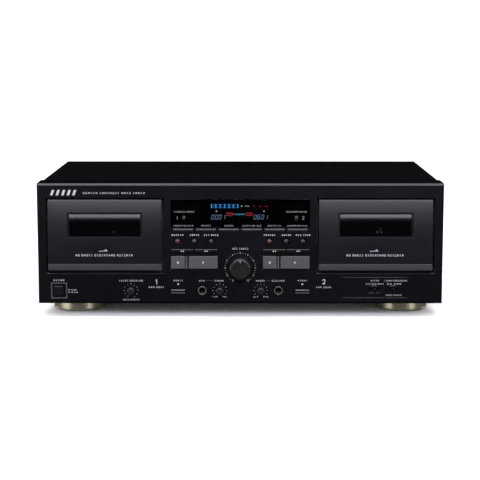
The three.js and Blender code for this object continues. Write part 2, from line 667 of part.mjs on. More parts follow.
// The keys and round buttons of one deck.
function deckControls(side, number) {
  const left = padLeft(side);
  const right = left + 2 * KEYPAD.halfWidth;
  const windWidth = KEYPAD.halfWidth - WIND_KEY.gap / 2;
  const padKey = (name, x0, x1) =>
    key(`${name}_${number}`, (x0 + x1) / 2, middle(PAD), x1 - x0, tall(PAD), PROUD.pad, KEY_GREY);
  const windKey = (name, x) =>
    key(`${name}_${number}`, x, middle(WIND_KEY), windWidth, tall(WIND_KEY), PROUD.wind, KEY_GREY);
  const roundKey = (name, i, material) => {
    const { radius, z } = ROUND_BUTTON;
    return roundButton(`${name}_${number}`, roundButtonX(side, i), z, radius, PROUD.round, material);
  };
  return [
    roundKey("record_button", 0, REC_RED),
    roundKey("pause_button", 1, KEY_GREY),
    roundKey("mute_button", 2, KEY_GREY),
    windKey("rewind_key", left + windWidth / 2),
    windKey("forward_key", right - windWidth / 2),
    padKey("stop_key", left, left + PAD.stopWidth),
    padKey("play_key", left + PAD.playLeft, right),
    key(`eject_key_${number}`, side * EJECT.x, EJECT.z, EJECT.width, EJECT.height, PROUD.eject, KEY_GREY),
    roundButton(`reset_button_${number}`, side * RESET.x, RESET.z, RESET.radius, PROUD.reset, KEY_GREY),
  ];
}

// ---------------------------------------------------------------- the whole deck

const deck = new THREE.Group();
deck.add(frontPanel(), displayWindow(), topCover(), baseChassis(), rearPanel(), mainsInlet());
deck.add(lineJackBlock(), transformer(), mainBoard());
SIDES.forEach((side, i) => {
  const number = i + 1;
  const where = ["left", "right"][i];
  const centre = side * DECK_X;
  deck.add(foot(`front_foot_${where}`, side * FOOT.x, FOOT.frontDepth));
  deck.add(foot(`rear_foot_${where}`, side * FOOT.x, FOOT.rearDepth));
  deck.add(cassetteDoor(`cassette_door_${number}`, centre));
  deck.add(doorWindow(`door_window_${number}`, centre));
  deck.add(mechanismPlate(`mechanism_plate_${number}`, centre));
  deck.add(reel(`supply_reel_${number}`, centre - REEL.x));
  deck.add(reel(`takeup_reel_${number}`, centre + REEL.x));
  deck.add(flywheel(`flywheel_${number}`, centre + CAPSTAN.x));
  deck.add(headCarriage(`head_carriage_${number}`, centre));
  deck.add(...deckControls(side, number));
});
for (let i = 0; i < FUNCTION_KEY.count; i++) {
  const { z, width, height } = FUNCTION_KEY;
  deck.add(key(`function_key_${i + 1}`, functionKeyX(i), z, width, height, PROUD.function, KEY_GREY));
}
deck.add(key("power_button", POWER.x, CONTROL_Z, POWER.width, POWER.height, PROUD.power, KNOB_BLACK));
deck.add(knob("record_level_knob", 0, LEVEL_KNOB, -KNOB_REACH, 0.5, 40));
const smallKnob = (name, x) => knob(name, x, SMALL_KNOB, -SMALL_KNOB.reach, -0.5, 22);
deck.add(smallKnob("pitch_knob", SMALL_KNOB.pitchX));
deck.add(smallKnob("mic_level_knob", -SMALL_KNOB.levelX));
deck.add(smallKnob("phones_level_knob", SMALL_KNOB.levelX));
deck.add(jack("mic_jack", -JACK.x), jack("phones_jack", JACK.x));
deck.add(slider("timer_switch", SWITCH.timerX), slider("noise_reduction_switch", SWITCH.noiseX));

export default deck;
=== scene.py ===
"""The looks of the double cassette deck: finer shapes, printed marks, materials, lights and camera.

Sizes are in millimetres until a mesh is made. "Depth" is measured backwards from the front panel's front
face, and places come from the CAD nodes' own boxes.
"""
import math
import random

import bmesh
import bpy
from mathutils import Euler, Matrix, Vector


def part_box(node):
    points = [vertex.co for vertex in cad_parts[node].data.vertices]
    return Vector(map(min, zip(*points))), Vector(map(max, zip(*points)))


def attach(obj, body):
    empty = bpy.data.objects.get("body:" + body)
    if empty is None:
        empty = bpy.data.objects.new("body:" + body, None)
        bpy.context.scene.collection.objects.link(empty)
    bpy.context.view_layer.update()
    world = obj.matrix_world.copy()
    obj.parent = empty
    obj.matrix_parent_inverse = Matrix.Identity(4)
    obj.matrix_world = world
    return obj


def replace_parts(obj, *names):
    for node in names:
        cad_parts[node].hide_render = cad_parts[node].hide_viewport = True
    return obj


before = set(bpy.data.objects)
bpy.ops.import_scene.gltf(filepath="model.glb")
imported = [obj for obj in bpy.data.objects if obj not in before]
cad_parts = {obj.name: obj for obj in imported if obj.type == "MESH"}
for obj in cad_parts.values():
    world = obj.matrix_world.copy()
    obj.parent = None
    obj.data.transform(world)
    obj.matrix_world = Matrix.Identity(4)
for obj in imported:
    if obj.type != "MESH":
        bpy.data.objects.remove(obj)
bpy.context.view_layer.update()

MM = 0.001
FACE_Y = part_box("front_panel")[0].y
REAR = 263.0  # the depth of the rear panel's outer face
BOTH = (-1, 1)
SIDES = ((1, -1), (2, 1))  # deck number and its side of the middle
DECK_X = 145.0  # how far each deck's middle is from the middle of the case
SKIN = 0.05  # how far printed marks stand off the surface under them
ROOT = 0.02  # how far they reach into it


# ---------- places

def node_box(node):
    """The lowest and highest (x, depth, z) of a CAD node."""
    return tuple((p.x / MM, (p.y - FACE_Y) / MM, p.z / MM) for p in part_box(node))


def middle(node):
    """The (x, z) middle of a CAD node's front view."""
    lo, hi = node_box(node)
    return (lo[0] + hi[0]) / 2, (lo[2] + hi[2]) / 2


def front_of(node):
    """The depth of a CAD node's front."""
    return node_box(node)[0][1]


def arc(cx, cz, radius, start, end, steps):
    """Points on a circle between two angles in degrees."""
    angles = [math.radians(start + (end - start) * i / steps) for i in range(steps + 1)]
    return [(cx + radius * math.cos(a), cz + radius * math.sin(a)) for a in angles]


# ---------- materials

def srgb(red, green, blue):
    """A linear colour with alpha from 0-255 display values."""
    def linear(value):
        value /= 255
        return value / 12.92 if value <= 0.04045 else ((value + 0.055) / 1.055) ** 2.4
    return (linear(red), linear(green), linear(blue), 1.0)


class Surface:
    """A principled material whose colour, roughness and relief are varied by noise in object space."""

    def __init__(self, name, colour, roughness, metallic=0.0, specular=0.5, alpha=1.0):
        self.material = bpy.data.materials.new(name)
        self.material.use_nodes = True
        self.tree = self.material.node_tree
        self.shader = self.tree.nodes["Principled BSDF"]
        self.colour = srgb(*colour)
        self.roughness = roughness
        self.height = None
        self.set("Base Color", self.colour)
        self.set("Roughness", roughness)
        self.set("Metallic", metallic)
        self.set("Specular IOR Level", specular)
        self.set("Alpha", alpha)

    def set(self, socket, value):
        self.shader.inputs[socket].default_value = value

    def node(self, kind, sockets=(), **settings):
        made = self.tree.nodes.new(kind)
        for key, value in settings.items():
            setattr(made, key, value)
        for socket, value in sockets:
            made.inputs[socket].default_value = value
        return made

    def link(self, source, target):
        self.tree.links.new(source, target)

    def place(self, scale=(1, 1, 1)):
        """Object-space coordinates, stretched by scale."""
        mapping = self.node("ShaderNodeMapping", [("Scale", scale)])
        self.link(self.node("ShaderNodeTexCoord").outputs["Object"], mapping.inputs["Vector"])
        return mapping.outputs["Vector"]

    def noise(self, scale, stretch, detail=3.0):
        made = self.node("ShaderNodeTexNoise", [("Scale", scale), ("Detail", detail)])
        self.link(self.place(stretch), made.inputs["Vector"])
        return made.outputs["Fac"]

    def mottle(self, amount, scale=25.0, stretch=(1, 1, 1)):
        """Uneven colour: the base colour is darkened and lightened by amount."""
        factor, low, high, result = 0, 6, 7, 2  # the sockets of a colour mix
        tones = [(socket, [min(1.0, c * (1 + change)) for c in self.colour[:3]] + [1.0])
                 for socket, change in ((low, -amount), (high, amount))]
        mix = self.node("ShaderNodeMix", tones, data_type="RGBA")
        self.link(self.noise(scale, stretch), mix.inputs[factor])
        self.link(mix.outputs[result], self.shader.inputs["Base Color"])
        return self

    def smudge(self, amount, scale=18.0, stretch=(1, 1, 1)):
        """Uneven gloss, as handling leaves it."""
        low, high = self.roughness - amount, self.roughness + amount
        limits = [("From Min", 0.3), ("From Max", 0.7), ("To Min", low), ("To Max", high)]
        spread = self.node("ShaderNodeMapRange", limits)
        self.link(self.noise(scale, stretch), spread.inputs["Value"])
        self.link(spread.outputs["Result"], self.shader.inputs["Roughness"])
        return self

    def relief(self, source, distance, strength):
        """Adds a height to the surface; several reliefs stack."""
        bump = self.node("ShaderNodeBump", [("Strength", strength), ("Distance", distance)])
        self.link(source, bump.inputs["Height"])
        if self.height is not None:
            self.link(self.height, bump.inputs["Normal"])
        self.height = bump.outputs["Normal"]
        self.link(self.height, self.shader.inputs["Normal"])
        return self

    def grain(self, scale, distance, strength, stretch=(1, 1, 1)):
        return self.relief(self.noise(scale, stretch, 2.0), distance, strength)

    def rings(self, pitch, distance, axis="Z"):
        """Fine turning marks round an axis through the object's origin; each is a light or a dark ring."""
        scale = 1 / (20 * pitch * MM) * 3.14  # the texture turns through 20 radians a metre at scale 1
        sockets = [("Scale", scale), ("Distortion", 0.4)]
        wave = self.node("ShaderNodeTexWave", sockets, wave_type="RINGS", rings_direction=axis)
        self.link(self.place(), wave.inputs["Vector"])
        return self.relief(wave.outputs["Fac"], distance, 0.5)

    def glow(self, colour, strength):
        self.set("Emission Color", srgb(*colour))
        self.set("Emission Strength", strength)
        return self


INKS = {  # display colour and unevenness
    "ink": ((112, 112, 117), 0.12),
    "ink_bright": ((140, 140, 143), 0.06),
    "ink_mid": ((118, 118, 124), 0.1),
    "ink_soft": ((94, 94, 98), 0.12),
    "ink_dim": ((62, 62, 66), 0.12),
}

GLOWS = {  # unlit colour, lit colour and strength
    "lamp_glow": ((60, 60, 58), (235, 232, 225), 8.0),
    # the light guide's dim glow, which also paints the glint of the reel shafts
    "guide_glow_and_painted_glint": ((40, 40, 42), (215, 220, 235), 1.1),
    "glow_cyan": ((10, 20, 26), (95, 190, 235), 6.0),
    "glow_blue": ((6, 12, 26), (30, 100, 205), 4.0),
    "glow_pale": ((14, 16, 26), (150, 185, 235), 5.5),
    "glow_red": ((26, 6, 6), (205, 64, 74), 3.4),
    "glow_white": ((20, 20, 20), (190, 195, 215), 7.0),
}


def surfaces():
    """Every material of the deck by name."""
    made = {}

    def add(name, *args, **kwargs):
        made[name] = Surface(name, *args, **kwargs)
        return made[name]

    across, along, slits = (0.05, 1, 1), (1, 0.05, 1), (0.02, 1, 0.02)

    # plastics and paints of the case
    add("panel_black", (5, 4, 9), 0.3, specular=0.45).mottle(0.15).smudge(0.03).grain(2600, 2e-5, 0.3)
    door = add("door_black", (4, 3, 8), 0.33, specular=0.74)
    door.mottle(0.1, 40, (0.15, 1, 1)).smudge(0.02).grain(3200, 1e-5, 0.3, across)
    add("holder_black", (16, 16, 18), 0.5).mottle(0.15).grain(1800, 4e-5, 0.5)
    cover = add("cover_steel", (3, 3, 5), 0.38, specular=0.3)
    cover.mottle(0.1, 60).smudge(0.012, 50).grain(1500, 6e-5, 0.5)
    back = add("rear_black", (24, 24, 27), 0.45, specular=0.4)
    back.mottle(0.08, 60).smudge(0.03, 40).grain(1500, 5e-5, 0.5)
    add("screw_black", (30, 30, 33), 0.34, metallic=0.7).mottle(0.1, 90).smudge(0.05, 90)
    add("lens", (2, 1, 2), 0.05, alpha=0.7).smudge(0.015, 40)
    add("window", (1, 1, 2), 0.2, alpha=0.9).smudge(0.02, 30)
    add("seal_black", (3, 3, 4), 0.6, specular=0.3).mottle(0.2, 90).grain(1800, 3e-5, 0.4)

    # keys, buttons and knobs
    add("key_grey", (62, 61, 64), 0.4, metallic=0.2).mottle(0.06, 60).smudge(0.04).grain(3000, 2e-5, 0.3)
    add("key_dark", (8, 8, 10), 0.3).mottle(0.1, 60).smudge(0.04).grain(2600, 2e-5, 0.3)
    add("key_cap", (20, 20, 23), 0.33, specular=0.6).mottle(0.06, 90).smudge(0.03, 60)
    add("button_grey", (26, 26, 29), 0.3, metallic=0.3, specular=0.9).mottle(0.08, 90).smudge(0.04)
    add("record_red", (52, 11, 9), 0.33, specular=0.9).mottle(0.1, 90).smudge(0.04)
    add("knob_black", (10, 10, 13), 0.36, specular=0.6).mottle(0.1, 60).smudge(0.05).rings(0.35, 2e-5, "Y")

    # metals
    add("foot_metal", (204, 195, 172), 0.3, metallic=0.8).mottle(0.05, 30).smudge(0.05).rings(0.3, 2e-5)
    add("nickel", (124, 123, 116), 0.26, metallic=0.85).mottle(0.1, 120).smudge(0.06, 60)
    zinc = add("zinc_steel", (150, 152, 156), 0.36, metallic=0.9)
    zinc.mottle(0.12, 50).smudge(0.08).grain(900, 3e-5, 0.5, (0.1, 1, 1))
    add("brass", (178, 150, 92), 0.28, metallic=1.0).mottle(0.1, 60).smudge(0.06).rings(0.5, 2e-5, "Y")
    # the lighter steel of the eject keys' ridge edges, partly a painted highlight
    add("trim_steel_and_painted_highlight", (80, 80, 83), 0.34, metallic=0.7).mottle(0.06, 80).smudge(0.05, 50)
    add("bright_steel", (200, 202, 206), 0.16, metallic=1.0).mottle(0.06, 80).smudge(0.05, 50)
    add("copper", (140, 78, 46), 0.35, metallic=0.7).mottle(0.15, 60).grain(2200, 1e-4, 0.8, along)
    add("core_steel", (70, 66, 62), 0.5, metallic=0.6).mottle(0.2, 60).grain(2500, 1e-4, 0.8, slits)

    # rubber and small parts
    add("rubber", (22, 22, 23), 0.75, specular=0.3).mottle(0.2, 60).grain(1200, 1e-4, 0.6)
    add("roller_rubber", (30, 30, 31), 0.6, specular=0.4).mottle(0.15, 90).grain(2600, 4e-5, 0.4)
    add("belt", (16, 16, 16), 0.65).mottle(0.2, 90).grain(2000, 5e-5, 0.5)
    add("board", (38, 84, 48), 0.45).mottle(0.2, 70).smudge(0.08, 60).grain(700, 5e-5, 0.5)
    add("part_black", (14, 14, 16), 0.4).mottle(0.15, 60).smudge(0.05)
    add("jack_white", (190, 188, 180), 0.4).mottle(0.06, 80).smudge(0.05)
    add("jack_red", (140, 22, 20), 0.4).mottle(0.08, 80).smudge(0.05)
    add("connector_white", (196, 194, 184), 0.45).mottle(0.06, 60).smudge(0.05)
    add("can_blue", (22, 34, 62), 0.35).mottle(0.08, 60).smudge(0.05)

    # prints and lights
    fine = 300
    for name, (colour, unevenness) in INKS.items():
        add(name, colour, 0.6, specular=0.3).mottle(unevenness, fine)
    # grey line ink, also used for two painted edge highlights on the front panel
    add("line_ink_and_painted_edge_highlight", (50, 51, 54), 0.5, specular=0.3).mottle(0.15, 100)
    for name, (unlit, lit, strength) in GLOWS.items():
        add(name, unlit, 0.4).glow(lit, strength).mottle(0.1, fine)
    return {name: surface.material for name, surface in made.items()}


PAINT = surfaces()


# ---------- mesh building

def settle(obj):
    """Turns an object's modifiers into its mesh."""
    graph = bpy.context.evaluated_depsgraph_get()
    mesh = bpy.data.meshes.new_from_object(obj.evaluated_get(graph))
    obj.modifiers.clear()
    obj.data = mesh


def even_shading(obj):
    """Large faces keep their own normals, so that flats stay flat next to round edges."""
    weighted = obj.modifiers.new("shading", "WEIGHTED_NORMAL")
    weighted.mode = "FACE_AREA_WITH_ANGLE"
    weighted.weight = 80
    weighted.keep_sharp = True


def add_bevel(obj, width, segments):
    bevel = obj.modifiers.new("bevel", "BEVEL")
    bevel.width = width * MM
    bevel.segments = segments
    bevel.limit_method = "ANGLE"
    bevel.angle_limit = math.radians(30)
    even_shading(obj)


def paint_with(obj, paint):
    obj.data.materials.clear()
    obj.data.materials.append(PAINT[paint])


class Build:
    """Collects closed shapes, in millimetres from a centre given as (x, depth, z), into one piece."""

    def __init__(self, x=0.0, depth=0.0, z=0.0):
        self.centre = (x, depth, z)
        self.bm = bmesh.new()

    def rows(self, outlines):
        return [[self.bm.verts.new(p) for p in outline] for outline in outlines]

    def skin(self, rows):
        """Faces between each row of vertices and the next."""
        for a, b in zip(rows, rows[1:]):
            for i in range(len(a)):
                j = (i + 1) % len(a)
                self.bm.faces.new((a[i], a[j], b[j], b[i]))

    def loft(self, outlines):
        """Joins outlines of (x, depth, z) points and closes both ends."""
        rows = self.rows(outlines)
        self.skin(rows)
        self.bm.faces.new(list(reversed(rows[0])))
        self.bm.faces.new(rows[-1])
        return self

    def loops(self, outlines):
        """Joins outlines of (x, depth, z) points, and the last one to the first."""
        rows = self.rows(outlines)
        self.skin(rows + rows[:1])
        return self

    def prism(self, outline, front, rear):
        """An outline of (x, z) points between two depths."""
        return self.loft([[(x, d, z) for x, z in outline] for d in (front, rear)])

    def sweep(self, outline, x0, x1):
        """An outline of (depth, z) points, drawn out along X."""
        return self.loft([[(x, d, z) for d, z in outline] for x in (x0, x1)])

    def box(self, xs, depths, zs):
        x0, x1 = sorted(xs)
        return self.prism([(x0, zs[0]), (x1, zs[0]), (x1, zs[1]), (x0, zs[1])], *depths)

    def bar(self, x, z, width, height, depths):
        return self.box((x - width / 2, x + width / 2), depths, (z - height / 2, z + height / 2))

    def turn(self, profile, segments=48, axis="Y", centre=(0, 0, 0), flutes=0, flute_depth=0.0):
        """A profile of (radius, place along the axis) points, turned round the axis.

        A number of flutes can run along its wide parts, flute_depth deep.
        """
        outlines = []
        for radius, along in profile:
            cut = flute_depth if radius > flute_depth * 4 else 0
            outline = []
            for i in range(segments):
                angle = 2 * math.pi * i / segments
                r = radius - cut * (0.5 + 0.5 * math.cos(flutes * angle))
                u, v = r * math.cos(angle), r * math.sin(angle)
                point = {"X": (along, u, v), "Y": (u, along, v), "Z": (u, v, along)}[axis]
                outline.append([p + c for p, c in zip(point, centre)])
            outlines.append(outline)
        return self.loft(outlines)

    def ring(self, profile, segments, x=0.0, z=0.0):
        """A ring round the depth axis, whose section is a closed outline of (radius, depth) points."""
        angles = [2 * math.pi * i / segments for i in range(segments)]
        return self.loops([[(x + radius * math.cos(a), depth, z + radius * math.sin(a)) for a in angles]
                           for radius, depth in profile])

    def wall(self, xs, zs, front, rear, hole=None):
        """A wall between two depths given as functions of x and z.

        hole is a range of columns and a range of rows that are left open.
        """
        sides = []
        for depth in (front, rear):
            sides.append([[self.bm.verts.new((x, depth(x, z), z)) for z in zs] for x in xs])

        def solid(i, j):
            if not (0 <= i < len(xs) - 1 and 0 <= j < len(zs) - 1):
                return False
            return not (hole and hole[0] <= i < hole[1] and hole[2] <= j < hole[3])

        edges = (  # the neighbour across each edge of a cell, and the edge's two ends
            (-1, 0, (0, 0), (0, 1)), (1, 0, (1, 0), (1, 1)), (0, -1, (0, 0), (1, 0)), (0, 1, (0, 1), (1, 1)),
        )
        for i in range(len(xs) - 1):
            for j in range(len(zs) - 1):
                if not solid(i, j):
                    continue
                for side in sides:
                    self.bm.faces.new((side[i][j], side[i + 1][j], side[i + 1][j + 1], side[i][j + 1]))
                for di, dj, (a, b), (c, d) in edges:
                    if not solid(i + di, j + dj):
                        ends = [(i + a, j + b), (i + c, j + d)]
                        near = [sides[0][p][q] for p, q in ends]
                        far = [sides[1][p][q] for p, q in reversed(ends)]
                        self.bm.faces.new(near + far)
        return self

    def copy(self, mesh, matrix):
        """Adds a mesh at a place."""
        start = len(self.bm.verts)
        self.bm.from_mesh(mesh)
        self.bm.verts.ensure_lookup_table()
        bmesh.ops.transform(self.bm, matrix=matrix, verts=self.bm.verts[start:])
        return self

    def as_mesh(self, name):
        mesh = bpy.data.meshes.new(name)
        self.bm.to_mesh(mesh)
        self.bm.free()
        return mesh

    def as_object(self, name, scale=1.0):
        """An object in the scene, with its faces turned outwards."""
        bmesh.ops.recalc_face_normals(self.bm, faces=self.bm.faces)
        bmesh.ops.scale(self.bm, vec=(scale, scale, scale), verts=self.bm.verts)
        obj = bpy.data.objects.new(name, self.as_mesh(name))
        bpy.context.scene.collection.objects.link(obj)
        return obj

    def minus(self, tool):
        """This build with another one cut away."""
        whole, cutter = self.as_object("whole"), tool.as_object("cutter")
        cut = whole.modifiers.new("cut", "BOOLEAN")
        cut.object = cutter
        cut.solver = "EXACT"
        settle(whole)
        left = Build(*self.centre)
        left.bm.from_mesh(whole.data)
        for obj in (whole, cutter):
            bpy.data.objects.remove(obj)
        return left

    def make(self, name, paint, body="case", bevel=0.0, segments=2, smooth=38):
        """The finished piece in metres; smooth is the angle in degrees under which edges look round."""
        obj = self.as_object(name, MM)
        x, depth, z = self.centre
        obj.location = (x * MM, FACE_Y + depth * MM, z * MM)
        obj.data.shade_smooth()
        if bevel:
            add_bevel(obj, bevel, segments)
            settle(obj)
        obj.data.set_sharp_from_angle(angle=math.radians(smooth))
        even_shading(obj)
        paint_with(obj, paint)
        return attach(obj, body)


def build_at(node):
    """A build centred on a CAD node's front view."""
    x, z = middle(node)
    return Build(x, 0, z)


def dress(node, paint, bevel, segments=2):
    """Gives a CAD node its material and softened edges."""
    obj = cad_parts[node]
    paint_with(obj, paint)
    obj.data.shade_smooth()
    weld = obj.modifiers.new("weld", "WELD")
    weld.merge_threshold = 1e-6
    flat = obj.modifiers.new("flat", "DECIMATE")
    flat.decimate_type = "DISSOLVE"
    flat.angle_limit = math.radians(1)
    add_bevel(obj, bevel, segments)


TURNS = {  # the turn in degrees that makes a screw head, which faces forwards, face each way
    "front": (0, 0, 0),
    "rear": (0, 0, 180),
    "right": (0, 0, 90),
    "left": (0, 0, -90),
    "below": (90, 0, 0),
}


def screws(name, body, places, facing, radius=3.0, paint="screw_black", height=0.36):
    """Pan-head screws with cross recesses; places are the (x, depth, z) middles of their seats."""
    crown = [(1.0, 0.3), (0.93, 0.62), (0.76, 0.88), (0.5, 1.0)]  # in parts of the head's radius and height
    head = Build().turn([(1.0, 0.02)] + [(r, -h * height) for r, h in crown], 32)
    a, b = 0.6, 0.12  # the reach and half the width of the recess's arms
    plus = [(b, b), (b, a), (-b, a), (-b, b), (-a, b), (-a, -b)]
    plus += [(-x, -z) for x, z in plus]
    shape = head.minus(Build().prism(plus, -1.0, -0.3 * height)).as_mesh("screw")
    turn = Euler([math.radians(angle) for angle in TURNS[facing]]).to_matrix().to_4x4()
    dice = random.Random(name)
    row = Build()
    for place in places:
        spin = Matrix.Rotation(dice.uniform(0, math.pi), 4, "Y")
        row.copy(shape, Matrix.Translation(place) @ turn @ spin @ Matrix.Scale(radius, 4))
    row.make(name, paint, body, smooth=40)


# ---------- printed marks

BLOCK = ((0, 1, 0.12, 0.76),)
LETTERS = (  # the blocks of a plain letter: left, right, foot and height, in parts of the letter's size
    ((0.25, 0.7, 0, 1),),
    ((0, 1, 0, 0.4), (0.2, 0.8, 0.6, 0.4)),
    ((0, 0.4, 0, 1), (0.6, 1, 0, 1)),
    BLOCK,
    BLOCK,
)


class Marks(Build):
    """Thin printed marks on a surface at one depth."""

    def __init__(self, depth, x=0.0):
        super().__init__(x, depth, 0)
        self.dice = random.Random(int(abs(depth) * 1000) + 7)  # so that each surface keeps its letters

    def make(self, name, paint, body="case"):
        return super().make(name, paint, body, smooth=20)

    def shape(self, outline):
        return self.prism(outline, -SKIN, ROOT)

    def rule(self, x0, x1, z, thickness):
        return self.shape([(x0, z), (x1, z), (x1, z + thickness), (x0, z + thickness)])

    def words(self, x, z, width, height, lengths):
        """A plain stand-in for a printed word or words: a row of letter-sized blocks."""
        gap, space = 0.6, 0.8  # between letters and between words, in widths of a letter
        height *= 0.86  # the letters fill this part of a line
        unit = width / (sum(lengths) * (1 + gap) + (len(lengths) - 1) * space - gap)
        left = x - width / 2
        for length in lengths:
            for _ in range(length):
                for start, end, foot, tall in LETTERS[self.dice.randrange(len(LETTERS))]:
                    self.rule(left + unit * start, left + unit * end, z + height * foot, height * tall)
                left += unit * (1 + gap)
            left += unit * space
        return self

    def triangle(self, x, z, size, turn=0):
        """A triangle pointing along X, turned anticlockwise in degrees."""
        return self.shape(arc(x, z, size, turn, turn + 240, 2))

    def tick_ring(self, x, z, radius, length, width, angles):
        """Short radial ticks; 0 is straight up and angles run clockwise."""
        for angle in angles:
            a = math.radians(90 - angle)
            ux, uz = math.cos(a), math.sin(a)
            px, pz = -uz * width / 2, ux * width / 2
            r0, r1 = radius - length / 2, radius + length / 2
            corners = [(r0, 1), (r1, 1), (r1, -1), (r0, -1)]
            self.shape([(x + ux * r + px * s, z + uz * r + pz * s) for r, s in corners])
        return self

    def stroke(self, points, width):
        """A line of constant width through points, with mitred corners; it may end where it starts."""
        closed = math.dist(points[0], points[-1]) < width / 10
        legs = [Vector((x1 - x0, z1 - z0)).normalized() for (x0, z0), (x1, z1) in zip(points, points[1:])]
        left, right = [], []
        for i, (x, z) in enumerate(points):
            before = legs[i - 1] if i or closed else legs[0]
            after = legs[i % len(legs)] if i < len(legs) or closed else legs[-1]
            across = Vector((-before.y - after.y, before.x + after.x))
            across *= min(0.9 * width, width / across.length) / across.length  # sharp mitres are cut short
            left.append((x + across.x, z + across.y))
            right.append((x - across.x, z - across.y))
        if not closed:
            return self.shape(left + right[::-1])
        rows = [(left, -SKIN), (left, ROOT), (right, ROOT), (right, -SKIN)]
        return self.loops([[(x, depth, z) for x, z in row[:-1]] for row, depth in rows])

    def one(self, x, z, height, width):
        return self.stroke([(x - height * 0.2, z + height * 0.72), (x, z + height), (x, z)], width)

    def two(self, x, z, height, width):
        r = height * 0.28
        top = arc(x, z + height - r, r, 170, -35, 6)
        return self.stroke(top + [(x - r, z + width / 2), (x + r * 1.1, z + width / 2)], width)

    def zero(self, x, z, height, width):
        steps = 16
        angles = [2 * math.pi * i / steps for i in range(steps + 1)]
        wide, half = height * 0.3, height / 2
        return self.stroke([(x + wide * math.cos(a), z + half + half * math.sin(a)) for a in angles], width)


# ---------- case

DRESSED = (  # the CAD nodes that keep their shape: node, paint, width of the softened edge and its segments
    ("front_panel", "panel_black", 0.35, 2),
    ("top_cover", "cover_steel", 1.0, 3),
    ("base_chassis", "zinc_steel", 0.4, 2),
    ("rear_panel", "rear_black", 0.3, 2),
    ("mains_inlet", "part_black", 0.4, 2),
    ("power_transformer", "core_steel", 0.6, 2),
    ("main_board", "board", 0.2, 2),
    ("display_window", "lens", 0.25, 2),
    ("power_button", "key_dark", 0.5, 2),
    ("timer_switch", "key_dark", 0.2, 2),
    ("noise_reduction_switch", "key_dark", 0.2, 2),
)
DRESSED_IN_DECKS = (  # the same for the nodes that each deck has one of
    ("mechanism_plate", "zinc_steel", 0.3),
    ("head_carriage", "zinc_steel", 0.25),
    ("supply_reel", "holder_black", 0.2),
    ("takeup_reel", "holder_black", 0.2),
    ("flywheel", "brass", 0.3),
    ("stop_key", "key_grey", 0.25),
    ("play_key", "key_grey", 0.25),
    ("rewind_key", "key_dark", 0.2),
    ("forward_key", "key_dark", 0.2),
)


def case():
    """Materials and softened edges for the CAD nodes that keep their shape."""
    for node, paint, bevel, segments in DRESSED:
        dress(node, paint, bevel, segments)
    for number, _ in SIDES:
        for node, paint, bevel in DRESSED_IN_DECKS:
            dress(f"{node}_{number}", paint, bevel)


def foot(node):
    """A turned foot: a champagne ring with a fine groove, and a rubber pad in its hollow."""
    lo, hi = node_box(node)
    x, depth, radius, height = (lo[0] + hi[0]) / 2, (lo[1] + hi[1]) / 2, (hi[0] - lo[0]) / 2, hi[2]
    neck = radius - 1.1
    flare = [(9, 0.9), (8.4, 0.15), (2.4, 0.15), (1.0, 0.4), (0.2, 1.0), (0, 1.5), (0.1, 1.9), (0.5, 2.3)]
    crown = [(0, 1.6), (0.2, 0.9), (0.7, 0.3), (1.3, 0)]
    profile = [(radius - inset, z) for inset, z in flare] + [(neck + 0.75, 2.5)]
    profile += [(neck - inset, height - drop) for inset, drop in crown] + [(4, height)]
    ring = Build(x, depth, 0).turn(profile, 96, "Z")
    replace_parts(ring.make(f"{node}_ring", "foot_metal"), node)
    pad = [(4, 0.85), (4, 0.35), (12, 0.35), (13, 0), (17.6, 0), (18.2, 0.3), (18.4, 0.85)]
    Build(x, depth, 0).turn(pad, 64, "Z").make(f"{node}_pad", "rubber")


def line_jacks():
    """Four line jacks: a moulded plate, plated shells, coloured insulators and sprung centre contacts."""
    block = "line_jack_block"
    (_, start, _), (_, end, _) = node_box(block)
    reach = 7.0  # of each jack from the middle of the block, both ways
    plate = build_at(block).box((-16, 16), (start, REAR + 1), (-16, 16))
    plate.box((-13.6, 13.6), (start + 2, REAR + 1.5), (-13.6, 13.6))
    made = plate.make("line_jack_plate", "part_black", bevel=0.4)
    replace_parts(made, block)
    shell = [(3.55, REAR + 1.4), (4.9, REAR + 1.4), (4.9, REAR + 2.3), (4.2, REAR + 2.5)]
    shell += [(4.2, end - 0.5), (4.0, end), (3.7, end), (3.55, end - 0.3)]
    contact = [(1.35, REAR + 2), (1.75, REAR + 2), (1.75, end - 0.9), (1.35, end - 1.2)]
    shells, pins = build_at(block), build_at(block)
    for column in BOTH:
        for row in BOTH:
            shells.ring(shell, 40, column * reach, row * reach)
            pins.ring(contact, 24, column * reach, row * reach)
    shells.make("line_jack_shells", "nickel", smooth=40)
    pins.make("line_jack_contacts", "bright_steel", smooth=40)
    section = [(1.8, REAR + 1.5), (3.5, REAR + 1.5), (3.5, end - 1.0), (1.8, end - 1.0)]
    for row, paint in ((-1, "jack_red"), (1, "jack_white")):
        insulator = build_at(block)
        for column in BOTH:
            insulator.ring(section, 32, column * reach, row * reach)
        insulator.make(paint, paint, smooth=40)


def case_screws():
    """The screws of the rear panel, the cover's sides and the underside."""
    edge = [(x, REAR, z) for x in (-206, 206) for z in (27, 80, 133)]
    edge += [(x, REAR, 133) for x in (-100, 0, 100)] + [(x, REAR, 24) for x in (-60, 110)]
    edge += [(x, REAR, 45) for x in (40, 80)]
    screws("rear_screws", "case", edge, "rear")
    for facing, side in (("left", -1), ("right", 1)):
        seats = [(side * 216, depth, 42) for depth in (75, 235)]
        screws(f"cover_screws_{facing}", "case", seats, facing, 3.9, height=0.33)
    underside = 15.3
    below = [(x, depth, underside) for x in (-205, -70, 70, 205) for depth in (46, 255)]
    below += [(x, 145, underside) for x in (-205, 205)]
    screws("base_screws", "case", below, "below", 2.9, "zinc_steel")


